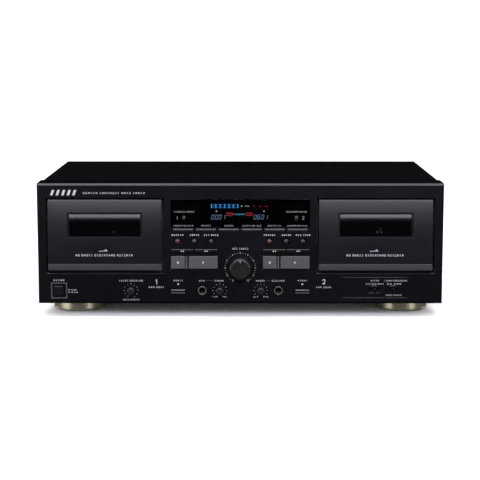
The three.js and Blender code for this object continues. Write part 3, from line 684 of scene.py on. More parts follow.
def rear():
    """The rear panel's jacks, mains inlet and small legends, and the screws of the whole case."""
    line_jacks()
    case_screws()
    inlet = build_at("mains_inlet")
    for side in BOTH:
        inlet.turn([(1.3, REAR - 13.9), (1.3, REAR - 2.2), (0.9, REAR - 1.6)], 24, centre=(side * 4.3, 0, 0))
    inlet.make("mains_inlet_pins", "bright_steel", smooth=40)
    inner, outer = (8.6, 4.3), (13.4, 8.4)  # half the width and height of the rim
    rows = [(inner, REAR + 0.7), (inner, REAR + 1.5), (outer, REAR + 1.5), (outer, REAR + 0.7)]
    corners = ((-1, -1), (1, -1), (1, 1), (-1, 1))
    rim = build_at("mains_inlet").loops([[(sx * w, d, sz * h) for sx, sz in corners] for (w, h), d in rows])
    rim.make("mains_inlet_bezel", "part_black", bevel=0.3)
    legends = Marks(REAR)
    x, z = middle("line_jack_block")
    for side in BOTH:
        rear_word(legends, x + side * 7, z + 19.4, 9, 1.7, 4)
        rear_word(legends, x + 22, z + side * 7 - 0.8, 5.5, 1.6, 3)
    legends.make("rear_legends", "ink")


def rear_word(marks, x, z, width, height, letters):
    """A plain stand-in for a word on the rear panel, whose marks stand out backwards."""
    unit = width / letters
    for i in range(letters):
        left = x - width / 2 + i * unit
        tall = height if marks.dice.random() < 0.6 else height * 0.7
        marks.box((left, left + unit * 0.66), (-ROOT, SKIN), (z, z + tall))


# ---------- doors

DOOR_BOTTOM, DOOR_TOP = 51.6, 128.0
DOOR_HALF = 60.75
LIP_TOP = 58.6
LIP = (  # the lip's front as (height, depth)
    (DOOR_BOTTOM, -4.35),
    (DOOR_BOTTOM + 0.25, -4.8),
    (DOOR_BOTTOM + 0.6, -4.91),
    (LIP_TOP - 0.15, -3.76),
)
WINDOW_Z = (87.2, 114.1)
WINDOW_X = 40.3
PANE_MARGIN = 1.6  # how far the pane reaches past its opening
PANE_ROLL = 13  # the height of the pane's curved top


def levels(start, end, steps):
    """Evenly spaced heights after start, up to end."""
    return [start + (end - start) * i / steps for i in range(1, steps + 1)]


def door_depth(z):
    """The door front's depth above its lip: upright low down, and leaning back towards its top."""
    return -3.6 + 4.3 * max(0.0, (z - LIP_TOP) / (DOOR_TOP - LIP_TOP)) ** 2.8


def door_face(_, z):
    """The door front's depth at any height, with its lip."""
    if z > LIP_TOP:
        return door_depth(z) + 0.4 * max(0.0, (z - DOOR_TOP + 0.8) / 0.8) ** 2
    for (z0, d0), (z1, d1) in zip(LIP, LIP[1:]):
        if z <= z1:
            return d0 + (d1 - d0) * (z - z0) / (z1 - z0)
    return door_depth(z)


def door_front(number, x):
    steps = 8
    heights = [z for z, _ in LIP] + [LIP_TOP] + levels(LIP_TOP, WINDOW_Z[0], steps)
    sill = len(heights) - 1
    heights += levels(*WINDOW_Z, steps)
    lintel = len(heights) - 1
    heights += levels(WINDOW_Z[1], DOOR_TOP - 0.8, steps) + [DOOR_TOP - 0.4, DOOR_TOP]
    columns = [-DOOR_HALF, -WINDOW_X, WINDOW_X, DOOR_HALF]
    front = Build(x).wall(columns, heights, door_face, lambda *_: 1.5, (1, 2, sill, lintel))
    made = front.make(f"door_front_{number}", "door_black", f"door_{number}", bevel=0.5, segments=3)
    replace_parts(made, f"cassette_door_{number}")


def pane_depth(_, z):
    """The pane's front: upright, and rolling back at its top."""
    bend = WINDOW_Z[1] + PANE_MARGIN - PANE_ROLL
    return -0.9 + 3.2 * max(0.0, (z - bend) / PANE_ROLL) ** 2


def door_glass(number, x):
    """The smoked pane, whose top rolls back and catches the light."""
    low, bend = WINDOW_Z[0] - PANE_MARGIN, WINDOW_Z[1] + PANE_MARGIN - PANE_ROLL
    heights = [low, bend] + levels(bend, bend + PANE_ROLL, 16)
    columns = [-WINDOW_X - PANE_MARGIN, WINDOW_X + PANE_MARGIN]
    pane = Build(x).wall(columns, heights, pane_depth, lambda a, z: pane_depth(a, z) + 0.9)
    made = pane.make(f"door_glass_{number}", "window", f"door_{number}", bevel=0.15)
    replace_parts(made, f"door_window_{number}")


def window_seal(number, x):
    """A matt black seal between the pane and the edge of the opening."""
    low, high = WINDOW_Z
    heights = [low + 0.1, low + 1.0] + levels(low + 1.0, high - 1.2, 10) + [high - 0.1]
    columns = [-WINDOW_X + 0.1, -WINDOW_X + 2.0, WINDOW_X - 2.0, WINDOW_X - 0.1]
    opening = (1, 2, 1, len(heights) - 2)
    seal = Build(x).wall(columns, heights, lambda *_: -1.25, lambda a, z: pane_depth(a, z) - 0.02, opening)
    seal.make(f"window_seal_{number}", "seal_black", f"door_{number}", bevel=0.15)


def door_pocket(number, x):
    """The moulded pocket behind the door: cheeks, ledges, ribs, rear guides and pivot pins."""
    pocket = Build(x)
    cheek = [(1.2, 117.6), (3, 118), (17, 118), (18, 117), (18, 56.6), (17, 55.6)]
    cheek += [(9, 50.2), (7.6, 49.4), (5.4, 49.4), (4.5, 50.4), (4.5, 53.8), (1.2, 54.3)]
    for side in BOTH:
        inner, outer = side * 51.5, side * 53.4
        pocket.sweep(cheek, inner, outer)
        pocket.box((side * 46.2, inner), (16, 18), (55.8, 117.6))
        pocket.box((side * 38, inner), (1.2, 17.8), (55.6, 57.4))
        for z in (66, 84, 102):
            pocket.box((outer, outer + side * 1.2), (3, 17), (z, z + 1.2))
        pin = [(1.5, side * 53.0), (1.5, side * 66.3), (1.2, side * 66.8)]
        pocket.turn(pin, 24, "X", centre=(0, 6.5, 51))
    made = pocket.make(f"door_pocket_{number}", "holder_black", f"door_{number}", bevel=0.2)
    leaf = [(1.7, 108), (2.6, 100), (3.1, 92), (2.7, 84), (1.9, 78)]
    leaf += [(1.6, 78), (2.4, 84), (2.8, 92), (2.3, 100), (1.4, 108)]
    for side, where in ((-1, "left"), (1, "right")):
        spring = Build(x).sweep(leaf, *sorted((side * 46.5, side * 50.5)))
        spring.make(f"cassette_spring_{where}_{number}", "bright_steel", f"door_{number}")


def door(number, side):
    x = side * DECK_X
    door_front(number, x)
    door_glass(number, x)
    window_seal(number, x)
    door_pocket(number, x)
    arrow = [(-6.5, 72.2), (-0.8, 72.6), (3.2, 72.4), (1.0, 75.3), (0.7, 74.2), (-1.2, 73.3), (-6.5, 72.9)]
    marks = Marks(door_depth(70), x).words(-0.8, 66.9, 61, 3.1, (2, 5, 9, 7)).shape(arrow)
    marks.make(f"door_marks_{number}", "ink_mid", f"door_{number}")

    outer, inner, top, rise, bottom = 63.9, 63.1, 50.4, 47.9, 46.9
    outline = [(-outer, top), (-outer, bottom), (outer, bottom), (outer, top)]
    outline += [(inner, top), (inner, rise), (-inner, rise), (-inner, top)]
    sill = Build(x).prism(outline, -0.55, 0.3)
    sill.make(f"door_sill_{number}", "door_black", bevel=0.25)
    guard = Build(x).box((-50.4, 50.4), (3.3, 4.2), (43, 50.3))
    for i in range(-4, 5):
        guard.box((i * 11 - 0.6, i * 11 + 0.6), (3.2, 3.4), (44, 49.6))
    guard.make(f"well_guard_{number}", "seal_black", bevel=0.15)


# ---------- tape transports

REEL_X, REEL_Z = 21.25, 92.5
CAPSTAN_X, CAPSTAN_Z = 31.0, 64.0
ROLLER_Z = 51.3
WELL = 22.8  # the depth of the wall behind a cassette; what stands on it reaches just into it


def well_wall(number, x):
    """The moulded wall behind a cassette, with its ribs and screws."""
    holes = Build(x)
    reels = [(side * REEL_X, REEL_Z, 2.4) for side in BOTH]
    for hx, hz, radius in reels + [(CAPSTAN_X, CAPSTAN_Z, 3.4), (-CAPSTAN_X, CAPSTAN_Z, 2.0)]:
        holes.turn([(radius, 20), (radius, 26)], 32, centre=(hx, 0, hz))
    wall = Build(x).box((-60, 60), (22.75, 23.75), (56.5, 126)).minus(holes)
    wall.make(f"well_back_{number}", "holder_black", bevel=0.2)
    ribs = Build(x)
    collar = [(14.4, WELL), (14.4, 21.9), (14.7, 21.6), (15.4, 21.6), (15.7, 21.9), (15.7, WELL)]
    for side in BOTH:
        ribs.ring(collar, 64, side * REEL_X, REEL_Z)
        ribs.box((side * 54, side * 57), (20.4, WELL), (60, 122))
        ribs.box((side * 17, side * 44), (21.9, WELL), (118.4, 119.4))
    for z in (74, 111):
        ribs.box((-50, 50), (22.2, WELL), (z, z + 1))
    ribs.make(f"well_ribs_{number}", "holder_black", bevel=0.25)
    seats = [(x + sx, 22.76, sz) for sx, sz in ((-48, 66), (48, 66), (-48, 104), (48, 104), (0, 122.5))]
    screws(f"well_screws_{number}", "case", seats, "front", 2.3, "zinc_steel", 0.5)


def well_lamp(number, x):
    """The lamp behind a cassette, a little right of its middle, and its light guide; the guide's long thin
    glowing bar is a painted glint, standing in for the shine of the reel shafts.
    """
    lamp_x = x + 8.5 + (-2.1 if x > 0 else 2.1)
    lamp = Build(lamp_x)
    for x0, x1, top in ((-3.3, -1.8, 90.6), (1.3, 3.0, 90.8)):
        lamp.box((x0, x1), (20.6, 22.9), (89.0, top))
    lamp.make(f"well_lamp_{number}", "lamp_glow", bevel=0.3)
    guide = Build(lamp_x).prism([(-2.6, 90.6), (2.4, 90.8), (1.7, 95.6), (0.8, 95.6)], 21.4, 22.9)
    # a long thin glowing bar: a painted glint that stands in for the shine of the reel shafts
    guide.box((-20, 9), (21.4, 22.9), (88.7, 89.1))
    guide.make(f"lamp_guide_and_painted_glint_{number}", "guide_glow_and_painted_glint", bevel=0.1)


def well_fittings(number, x):
    """What a cassette meets in its well: locating posts, the capstan in its bearing and sensing fingers."""
    posts = Build(x)
    for px in (-CAPSTAN_X, 10.5):
        profile = [(1.9, WELL), (1.9, 21.8), (1.3, 21.4), (1.3, 10.5), (0.9, 8.9), (0.3, 8.3)]
        posts.turn(profile, 24, centre=(px, 0, CAPSTAN_Z))
    posts.make(f"locating_posts_{number}", "bright_steel", smooth=40)
    bush = [(1.45, 23.6), (1.45, 21.2), (1.7, 20.8), (2.5, 20.8), (2.9, 21.3), (2.9, 23.6)]
    bearing = Build(x).ring(bush, 32, CAPSTAN_X, CAPSTAN_Z)
    bearing.make(f"capstan_bearing_{number}", "brass", smooth=40)
    capstan = Build(x + CAPSTAN_X, 0, CAPSTAN_Z).turn([(0.9, 6.95), (1.32, 7.3), (1.32, 28.9)], 32)
    capstan.make(f"capstan_{number}", "bright_steel", f"capstan_{number}", smooth=40)
    fingers = Build(x)
    finger = [(22.9, 121.3), (22.9, 123.1), (15.5, 122.7), (14.6, 122.2), (15.5, 121.7)]
    for fx in (-38, -30, 30, 38):
        fingers.sweep(finger, fx - 1, fx + 1)
    fingers.make(f"sensing_fingers_{number}", "key_grey", bevel=0.15)


def tape_head(number, x):
    """The record and play head with its tape guides, and the erase head, on their carriage."""
    body = f"head_{number}"
    top, half = 56.0, 7.12
    face = arc(0, top - 8.4, 8.4, 32, 148, 10)
    head = Build(x).prism([(half, 44.3)] + face + [(-half, 44.3)], 4.72, 14.5)
    head.make(f"tape_head_{number}", "bright_steel", body, bevel=0.2)
    core, guides = Build(x), Build(x)
    for side in BOTH:
        core.box((side * 1.6 - 0.9, side * 1.6 + 0.9), (6.6, 12.6), (top - 1.2, top + 0.04))
        for depth in (5.1, 13.0):
            guides.box((side * 7.4, side * 8.3), (depth, depth + 1.0), (46, 57.2))
        guides.box((side * 7.4, side * 8.3), (5.1, 14.0), (46, 50.5))
        guides.box((side * 7.3, side * 12.6), (6.5, 12.5), (45.75, 46.4))
    core.make(f"head_core_{number}", "part_black", body, bevel=0.1)
    guides.make(f"tape_guides_{number}", "zinc_steel", body, bevel=0.12)
    left, right, foot_z = -20.2, -13.8, 46
    angles = [math.radians(a) for a in range(180, -1, -20)]
    dome = [(-17 + 3.2 * math.cos(a), 51.4 + 2.6 * math.sin(a)) for a in angles]
    erase = Build(x).prism([(left, foot_z)] + dome + [(right, foot_z)], 6.2, 13.4)
    erase.box((left, right), (13.2, 20.3), (foot_z, 47.2))
    erase.make(f"erase_head_{number}", "part_black", body, bevel=0.2)
    seats = [(x + sx, 19.99, 49) for sx in (-26, 17)]
    screws(f"carriage_screws_{number}", body, seats, "front", 2.0, "bright_steel", 0.5)


def pinch_roller(number, x):
    """The rubber roller that presses the tape to the capstan, its hub and its arm."""
    body = f"head_{number}"
    place = (x + CAPSTAN_X, 0, ROLLER_Z)
    tyre = [(2.1, 6.2), (5.0, 6.2), (5.3, 6.5), (5.3, 13.5), (5.0, 13.8), (2.1, 13.8)]
    Build(*place).ring(tyre, 64).make(f"pinch_roller_{number}", "roller_rubber", body, smooth=50)
    hub = Build(*place).ring([(1.05, 5.4), (1.9, 5.4), (2.05, 5.7), (2.05, 14.2), (1.05, 14.2)], 32)
    hub.ring([(1.05, 4.75), (1.05, 5.3), (2.3, 5.3), (2.3, 4.75)], 32)
    hub.make(f"roller_hub_{number}", "bright_steel", body, smooth=40)
    arm = Build(*place).prism(arc(0, 0, 3.6, 0, 180, 10) + [(-3.6, -5.4), (3.6, -5.4)], 14.4, 15.4)
    arm.make(f"roller_arm_{number}", "zinc_steel", body, bevel=0.15)


def belt_outline(x0, z0, r0, x1, z1, r1):
    """The outline of a belt round two pulleys that stand side by side, the smaller one first."""
    heading = math.degrees(math.atan2(z1 - z0, x1 - x0))
    lean = math.degrees(math.acos((r0 - r1) / math.hypot(x1 - x0, z1 - z0)))
    small = arc(x0, z0, r0, heading + lean, heading + 360 - lean, 20)
    return small + arc(x1, z1, r1, heading - lean, heading + lean, 40)


def drive(number, x):
    """What drives a transport behind its plate: a motor on three posts, its pulley and a flat belt."""
    mx, mz = -38.0, 62.0
    place = (x + mx, 0, mz)
    can = [(7, 39.2), (15.4, 39.2), (16.4, 40.2), (16.4, 58.6), (15.4, 60), (6.4, 60), (6, 62), (2, 62)]
    Build(*place).turn(can, 64).make(f"motor_{number}", "zinc_steel", smooth=40)
    posts = Build(*place)
    for px, pz in arc(0, 0, 13, 90, 330, 2):
        posts.turn([(2.2, 25.7), (2.2, 39.1)], 24, centre=(px, 0, pz))
    posts.make(f"motor_posts_{number}", "zinc_steel", smooth=40)
    groove = [(1.0, 39.1), (5.2, 36.6), (5.2, 36.0), (4.5, 35.6)]
    groove += [(4.5, 31.4), (5.2, 31.0), (5.2, 30.4), (2.0, 30.4)]
    Build(*place).turn(groove, 32).make(f"motor_pulley_{number}", "brass", smooth=40)
    rows = []
    for swell, depth in ((0.05, 31.6), (0.75, 31.6), (0.75, 35.4), (0.05, 35.4)):
        outline = belt_outline(mx, mz, 4.5 + swell, CAPSTAN_X, CAPSTAN_Z, 26 + swell)
        rows.append([(px, depth, pz) for px, pz in outline])
    Build(x).loops(rows).make(f"drive_belt_{number}", "belt", smooth=40)


# ---------- inside the case

def power_supply():
    """The transformer's windings and terminals."""
    lo, hi = node_box("power_transformer")
    x = (lo[0] + hi[0]) / 2
    top = hi[2]
    coils, bobbin, tags = Build(x), Build(x), Build(x)
    for depths in ((154.6, 164.9), (197.1, 207.4)):
        coils.box((-18.3, 18.3), depths, (top - 41.5, top - 8.5))
    for z in (top - 44.5, top - 8.4):
        for depths in ((153.5, 164.9), (197.1, 208.5)):
            bobbin.box((-20, 20), depths, (z, z + 2.8))
    for i in range(6):
        for depths in ((150.6, 154.2), (207.8, 211.4)):
            tags.box((-15.4 + 6 * i, -14.0 + 6 * i), depths, (top - 7.4, top - 6.8))
    coils.make("transformer_windings", "copper", bevel=3.0, segments=4)
    bobbin.make("transformer_bobbin", "connector_white", bevel=0.4)
    tags.make("transformer_tags", "bright_steel", bevel=0.1)


def board_parts():
    """The main board's own components: cans, chips, a finned heat sink, sockets and small parts."""
    top = node_box("main_board")[1][2] - 40  # the board's upper face, under its tallest blocks
    can = [(7.4, 0.1), (8.2, 0.7), (8.2, 1.6), (7.9, 2), (8.2, 2.4), (8.2, 30.0), (7.6, 30.4), (6.6, 30.5)]
    cans, tops = Build(), Build()
    for i in range(4):
        centre = (-78 + 24 * i, 215, 0)
        cans.turn([(radius, top + z) for radius, z in can], 40, "Z", centre)
        tops.turn([(6.5, top + 30.0), (6.5, top + 30.55), (6.2, top + 30.7)], 40, "Z", centre)
    cans.make("capacitor_sleeves", "can_blue", smooth=40)
    tops.make("capacitor_tops", "zinc_steel", smooth=40)
    chips, legs = Build(), Build()
    for i in range(5):
        left = -40 + 44 * i
        chips.box((left - 0.1, left + 26.1), (119.9, 132.1), (top + 1.2, top + 4.1))
        for j in range(11):
            x = left + 1.6 + 2.28 * j
            for depth in (118.2, 132.2):
                legs.box((x - 0.3, x + 0.3), (depth, depth + 1.6), (top + 0.05, top + 2.4))
    chips.make("board_chips", "part_black", bevel=0.3)
    legs.make("chip_legs", "bright_steel")
    sink = Build().box((-90.2, -29.8), (169.7, 176.3), (top + 3, top + 40.1))
    for i in range(9):
        left = -89 + 7.1 * i
        sink.box((left, left + 1.6), (162, 184), (top + 6, top + 40))
    sink.make("heat_sink_fins", "zinc_steel", bevel=0.3)
    sockets = Build()
    for x in (-70, -20, 40, 100, 160):
        sockets.box((x, x + 17), (103, 108.6), (top + 0.05, top + 7))
        sockets.box((x + 1, x + 16), (104.4, 107.4), (top + 7, top + 9))
    sockets.make("board_sockets", "connector_white", bevel=0.3)
    small_parts(top)


def small_parts(top):
    """Resistors that lie down and capacitors that stand, strewn over rows and columns with gaps."""
    dice = random.Random(11)
    small = Build()
    for row in range(6):
        for column in range(18):
            if dice.random() < 0.25:
                continue
            x, depth = -20 + 11.4 * column + dice.uniform(-1, 1), 142 + 11 * row + dice.uniform(-1, 1)
            if dice.random() < 0.5:
                resistor = [(1.1, x - 2.8), (1.5, x - 2.3), (1.2, x), (1.5, x + 2.3), (1.1, x + 2.8)]
                small.turn(resistor, 16, "X", (0, depth, top + 1.6))
            else:
                small.turn([(2.4, top + 0.1), (2.5, top + 6.6), (2.1, top + 7)], 20, "Z", (x, depth, 0))
    small.make("board_small_parts", "part_black", smooth=40)


# ---------- controls

TIMER_X, NOISE_X = 144.2, 164.2  # the middles of the slide switches' slots


def round_button(node, paint, body):
    """A push button with a domed face and a flange behind the panel."""
    lo, hi = node_box(node)
    radius = (hi[0] - lo[0]) / 2 - 1
    flange = 3.3
    angles = [math.pi / 2 * i / 6 for i in range(1, 7)]
    dome = [(radius * math.sin(a), lo[1] + 1.7 * (1 - math.cos(a))) for a in angles]
    skirt = [(radius, flange), (radius + 1, flange + 0.05), (radius + 1, hi[1])]
    button = build_at(node).turn([(0.05, lo[1])] + dome + skirt)
    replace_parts(button.make(f"{node}_cap", paint, body), node)


def knob(node, body, flutes, flute_depth):
    """A knob with a flat face, a wide rounded rim, a fluted grip, a pointer and its shaft."""
    lo, hi = node_box(node)
    radius, front = (hi[0] - lo[0]) / 2, lo[1]
    large = radius > 8
    rear_face, shaft = (0.4, 3.0) if large else (-0.6, 1.6)
    rim = radius * (0.22 if large else 0.3)
    flat = radius - rim
    face = [(0.2, front + 0.05), (flat - 0.6, front + 0.05), (flat, front)]
    for angle in map(math.radians, range(10, 91, 10)):
        face.append((flat + rim * 0.97 * math.sin(angle), front + rim * 0.8 * (1 - math.cos(angle))))
    build_at(node).turn(face, 144).make(f"{node}_face", "knob_black", body, smooth=60)
    start = front + rim * 0.8
    profile = [(radius * 0.4, start), (radius * 0.965, start), (radius, start + radius * 0.06)]
    profile += [(radius, rear_face - 0.6), (radius * 0.97, rear_face), (shaft, rear_face), (shaft, hi[1])]
    grip = build_at(node).turn(profile, flutes * 6, flutes=flutes, flute_depth=flute_depth)
    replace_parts(grip.make(f"{node}_grip", "knob_black", body, smooth=60), node)
    half = 0.55 if large else 0.3
    reach = (radius * 0.66, radius * (0.8 if large else 0.76))
    pointer = build_at(node).box((-half, half), (front, front + 0.9), reach)
    pointer.make(f"{node}_pointer", "ink_mid" if large else "ink_dim", body, bevel=0.05)


def jack(node):
    """A 6.35 mm jack: a plated nut, a threaded bushing, a contact spring and the body behind the wall."""
    end = node_box(node)[1][1]
    bore, thread, flange = 3.25, 4.1, 4.75
    section = [(bore, 1.4), (bore, 0.1), (bore + 0.15, -0.2), (3.85, -0.95), (4.0, -1.2), (4.2, -1.3)]
    section += [(4.4, -1.2), (flange, -0.75), (flange, -0.3), (thread, -0.3), (thread, 3.4), (bore, 3.4)]
    made = build_at(node).ring(section, 64).make(f"{node}_nut", "nickel", smooth=50)
    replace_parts(made, node)
    body = build_at(node)
    inner, outer = 3.3, 7
    walls = [(-outer, outer, inner, outer), (-outer, outer, -outer, -inner)]
    walls += [(-outer, -inner, -inner, inner), (inner, outer, -inner, inner)]
    for x0, x1, z0, z1 in walls:
        body.box((x0, x1), (3.5, end - 1.5), (z0, z1))
    body.box((-outer, outer), (end - 1.5, end), (-outer, outer))
    body.make(f"{node}_housing", "part_black")
    spring = [(6, -2.9), (12, -2.0), (15, -2.9), (15, -3.15), (12, -2.3), (6, -3.15)]
    build_at(node).sweep(spring, -1.1, 1.1).make(f"{node}_contact", "bright_steel")


def eject_key(number):
    """An eject key with two ridges across its face; each ridge's edge is a strip of lighter steel, a real
    trim and partly a painted highlight where the edge catches the light.
    """
    node, body = f"eject_key_{number}", f"eject_{number}"
    outline = [(5.2, 2.2), (-1.5, 2.2), (-2.4, 1.3), (-2.6, 0.9), (-2.6, 0.4), (-1.2, 0.2), (-1.0, -0.6)]
    outline += [(-1.7, -1.0), (-2.3, -1.5), (-2.5, -1.9), (-2.3, -2.2), (5.2, -2.2)]
    key = build_at(node).sweep(outline, -7.5, 7.5)
    key.box((-7.5, 7.5), (3.3, 4.8), (-3.2, 3.2))
    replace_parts(key.make(f"{node}_cap", "key_dark", body, bevel=0.12), node)
    # strips of lighter steel on the ridge edges: partly a painted highlight of the light they catch
    upper = [(-1.9, 2.1), (-2.3, 1.75), (-2.55, 1.35), (-2.65, 1.15), (-2.5, 1.05), (-1.5, 1.5)]
    lower = [(-1.8, -0.95), (-2.35, -1.4), (-2.55, -1.75), (-2.4, -1.85), (-1.5, -1.3)]
    trim = build_at(node).sweep(upper, -7.3, 7.3).sweep(lower, -7.3, 7.3)
    trim.make(f"{node}_trim", "trim_steel_and_painted_highlight", body, bevel=0.05)


def function_key(number):
    """A low bar key whose upper edge slopes back and catches the light."""
    node = f"function_key_{number}"
    half = 10.7
    outline = [(5.2, 1.5), (-1.1, 1.5), (-1.3, 1.45), (-1.42, 1.3), (-1.66, 0.7)]
    outline += [(-1.75, 0.4), (-1.8, 0.1), (-1.8, -1.3), (-1.6, -1.5), (5.2, -1.5)]
    key = build_at(node).sweep(outline, -half, half).box((-half, half), (3.3, 4.8), (-2.5, 2.5))
    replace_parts(key.make(f"{node}_cap", "key_cap", f"function_{number}", bevel=0.12), node)


def slide_switch(node, x):
    """The dark well, the track and the terminals of a slide switch behind its slot."""
    lo, hi = node_box(node)
    well = Build(x, 0, (lo[2] + hi[2]) / 2).box((-10, 10), (5.2, 11), (-4.5, 4.5))
    for heights in ((3.8, 4.5), (-4.5, -3.8)):
        well.box((-8, 8), (3.2, 5.3), heights)
    for i in range(4):
        well.box((-6.5 + 4 * i, -5.7 + 4 * i), (11, 14), (-0.3, 0.3))
    well.make(f"{node}_body", "part_black", bevel=0.15)


def key_surround(number, side):
    """The rib between the stop and play keys, and the lip along the bottom of their well."""
    left = side * 49.25 - 25.15
    front = front_of(f"stop_key_{number}")
    rib = Build(left + 16.7, 0, 60.2).box((-0.95, 0.95), (front + 0.1, 0.4), (-6.7, 6.7))
    rib.make(f"key_divider_{number}", "key_grey", bevel=0.2)
    section = [(0.2, 0.25), (-0.1, 0.25), (-0.35, 0.0), (-0.35, -0.2), (0.2, -0.2)]
    edge = Build(left, 0, 51.4).sweep(section, -0.9, 50.6)
    edge.make(f"key_sill_{number}", "key_dark", smooth=20)


def controls():
    for number, side in SIDES:
        key_surround(number, side)
        round_button(f"record_button_{number}", "record_red", f"record_{number}")
        for name in ("pause", "mute", "reset"):
            round_button(f"{name}_button_{number}", "button_grey", f"{name}_{number}")
        eject_key(number)
    for number in range(1, 7):
        function_key(number)
    knob("record_level_knob", "record_level", 40, 0.3)
    for name in ("pitch", "mic_level", "phones_level"):
        knob(f"{name}_knob", name, 18, 0.22)
    for name in ("mic_jack", "phones_jack"):
        jack(name)
    slide_switch("timer_switch", TIMER_X)
    slide_switch("noise_reduction_switch", NOISE_X)


# ---------- legends

PANEL_WORDS = (  # x, z, width, height and the letters of each word
    (-117.7, 38.9, 25.3, 2.5, (5, 7)),
    (-117.4, 18.3, 17.7, 2.2, (4, 6)),
    (-41.4, 39.0, 5.7, 2.2, (3,)),
    (-22.7, 39.0, 9.2, 2.2, (5,)),
    (21.5, 39.0, 9.2, 2.2, (5,)),
    (40.6, 39.0, 13.1, 2.2, (6,)),
    (-90.3, 31.9, 16.3, 2.3, (3, 4)),
    (89.5, 31.9, 16.0, 2.3, (3, 4)),
)
SWITCH_WORDS = (  # the same, round the slide switches
    (144.7, 39.2, 8.8, 2.1, (5,)),
    (167.2, 39.2, 24.7, 2.1, (5, 9)),
    (144.9, 35.7, 19.2, 2.0, (3, 3, 4)),
    (165.5, 35.7, 15.2, 2.0, (2, 3)),
    (165.0, 23.6, 17, 1.7, (4, 5)),
)
BUTTON_WORDS = (  # over the round buttons: button, width and the letters of each word
    ("record", 12.5, (6,)),
    ("pause", 9.8, (5,)),
    ("mute", 15.4, (3, 4)),
)
LENS_WORDS = (  # over the function keys: width and the letters of each word
    (21.1, (6, 2, 4)),
    (10.3, (6,)),
    (9.8, (6,)),
    (19.9, (8, 3)),
    (14.7, (3, 5)),
    (21.4, (6, 2, 4)),
)


def knob_marks(text, bright):
    """The scales round the knobs, and the words beside the two lower ones."""
    x, z = middle("record_level_knob")
    bright.tick_ring(x, z, 16.2, 1.5, 0.55, range(-120, 121, 30))
    bright.tick_ring(x, z, 16.2, 0.9, 0.3, [a for a in range(-140, 141, 10) if a % 30])
    text.one(x + 7.1, z - 14.7, 2.0, 0.4)
    for shift in (-7.9, 8.6):
        text.zero(x + shift, z - 14.7, 2.0, 0.4)
    for node in ("pitch_knob", "mic_level_knob", "phones_level_knob"):
        x, z = middle(node)
        bright.tick_ring(x, z, 7.3, 1.0, 0.34, range(-150, 151, 30))
        if node != "pitch_knob":
            for shift in (-5.3, 5.3):
                text.words(x + shift, 21.7, 5.5, 1.5, (3,))


def power_marks(text, line):
    """The power button's word, its two positions and the frame round it."""
    x, z = middle("power_button")
    text.words(x, 39.3, 11.7, 2.6, (5,))
    start = -182.0
    for row, end in ((29.9, -176.4), (27.3, -175.0)):
        text.rule(-185.4, -183.4, row - 0.35, 0.9)
        text.words((end + start) / 2, row - 0.7, end - start, 1.6, (3,))
    outer, inner, depths = 8.75, 7.35, (-0.35, 0.1)
    width, offset = outer - inner, (outer + inner) / 2
    for side in BOTH:
        line.bar(x + side * offset, z, width, 2 * outer, depths)
        line.bar(x, z + side * offset, 2 * inner, width, depths)


def panel_marks():
    """Everything printed on the front panel, and two lines of painted edge highlight."""
    text, bright, dim, line, title = (Marks(0) for _ in range(5))
    for number, _ in SIDES:
        for name, width, lengths in BUTTON_WORDS:
            bright.words(middle(f"{name}_button_{number}")[0], 88.8, width, 2.0, lengths)
        x = middle(f"eject_key_{number}")[0]
        text.words(x, 39.3, 10, 2.0, (5,))
        bright.triangle(x, 36.2, 1.35, 90)
    bright.one(-89.9, 36.2, 5.0, 0.85)
    bright.two(89.9, 36.2, 5.0, 0.8)

    text.words(0, 73.7, 17, 2.7, (3, 5))
    knob_marks(text, bright)
    for entry in PANEL_WORDS:
        text.words(*entry)
    for x in (-36.5, -34, -31.5, -29, 28, 30.5, 33):
        dim.rule(x, x + 1.6, 40.0, 0.4)
    power_marks(text, line)

    for entry in SWITCH_WORDS:
        text.words(*entry)
    for centre in (TIMER_X, NOISE_X):
        text.tick_ring(centre, 30.6, 4.3, 0.8, 0.35, (-35, -18, 0, 18, 35))
    dim.words(144.5, 26.3, 12, 1.2, (3, 3))
    # two thin lines of painted edge highlight, standing in for the light caught by the top and bottom edges
    # of a raised plate
    for z in (43.4, 21.2):
        line.shape([(107.5, z + 0.2), (112, z), (177, z), (181.7, z + 0.2), (177, z + 0.5), (112, z + 0.5)])

    title.words(-134.9, 133.8, 66.1, 2.4, (6, 8, 4, 5))
    for i in range(5):
        left = -203 + i * 5.9
        bright.shape([(left, 132.4), (left + 2.6, 132.4), (left + 4.6, 138.2), (left + 2.0, 138.2)])

    text.make("panel_legends", "ink")
    bright.make("panel_symbols", "ink_bright")
    dim.make("panel_fine_marks", "ink_dim")
    title.make("panel_title", "ink_mid")
    line.make("panel_lines_and_painted_edge_highlights", "line_ink_and_painted_edge_highlight")


def lens_marks():
    """The legends on the display window, over the reset buttons and function keys."""
    marks = Marks(front_of("display_window"))
    for side in BOTH:
        marks.words(side * 60.2, 113.9, 21.7, 2.0, (7, 5))
    marks.one(-67.3, 106.3, 3.4, 0.6)
    marks.two(67.3, 106.3, 3.4, 0.6)
    for number, (width, lengths) in enumerate(LENS_WORDS, 1):
        marks.words(middle(f"function_key_{number}")[0], 98.9, width, 1.9, lengths)
    marks.make("window_legends", "ink_soft")


def key_marks():
    """The transport symbols on the keys."""
    for number, _ in SIDES:
        for body in ("stop", "play", "rewind", "forward"):
            node = f"{body}_key_{number}"
            x, z = middle(node)
            mark = Marks(front_of(node))
            if body == "stop":
                mark.rule(x - 1.0, x + 1.0, z - 1.0, 2.0)
            elif body == "play":
                mark.triangle(x - 0.2, z, 1.45)
            else:
                for shift in (-1.1, 1.1):
                    mark.triangle(x + shift, z - 0.1, 1.1, 180 if body == "rewind" else 0)
            mark.make(f"{body}_key_mark_{number}", "ink_bright", f"{body}_{number}")


# ---------- display

SEGMENTS = {"0": "abcdef", "1": "bc", "6": "afgedc"}


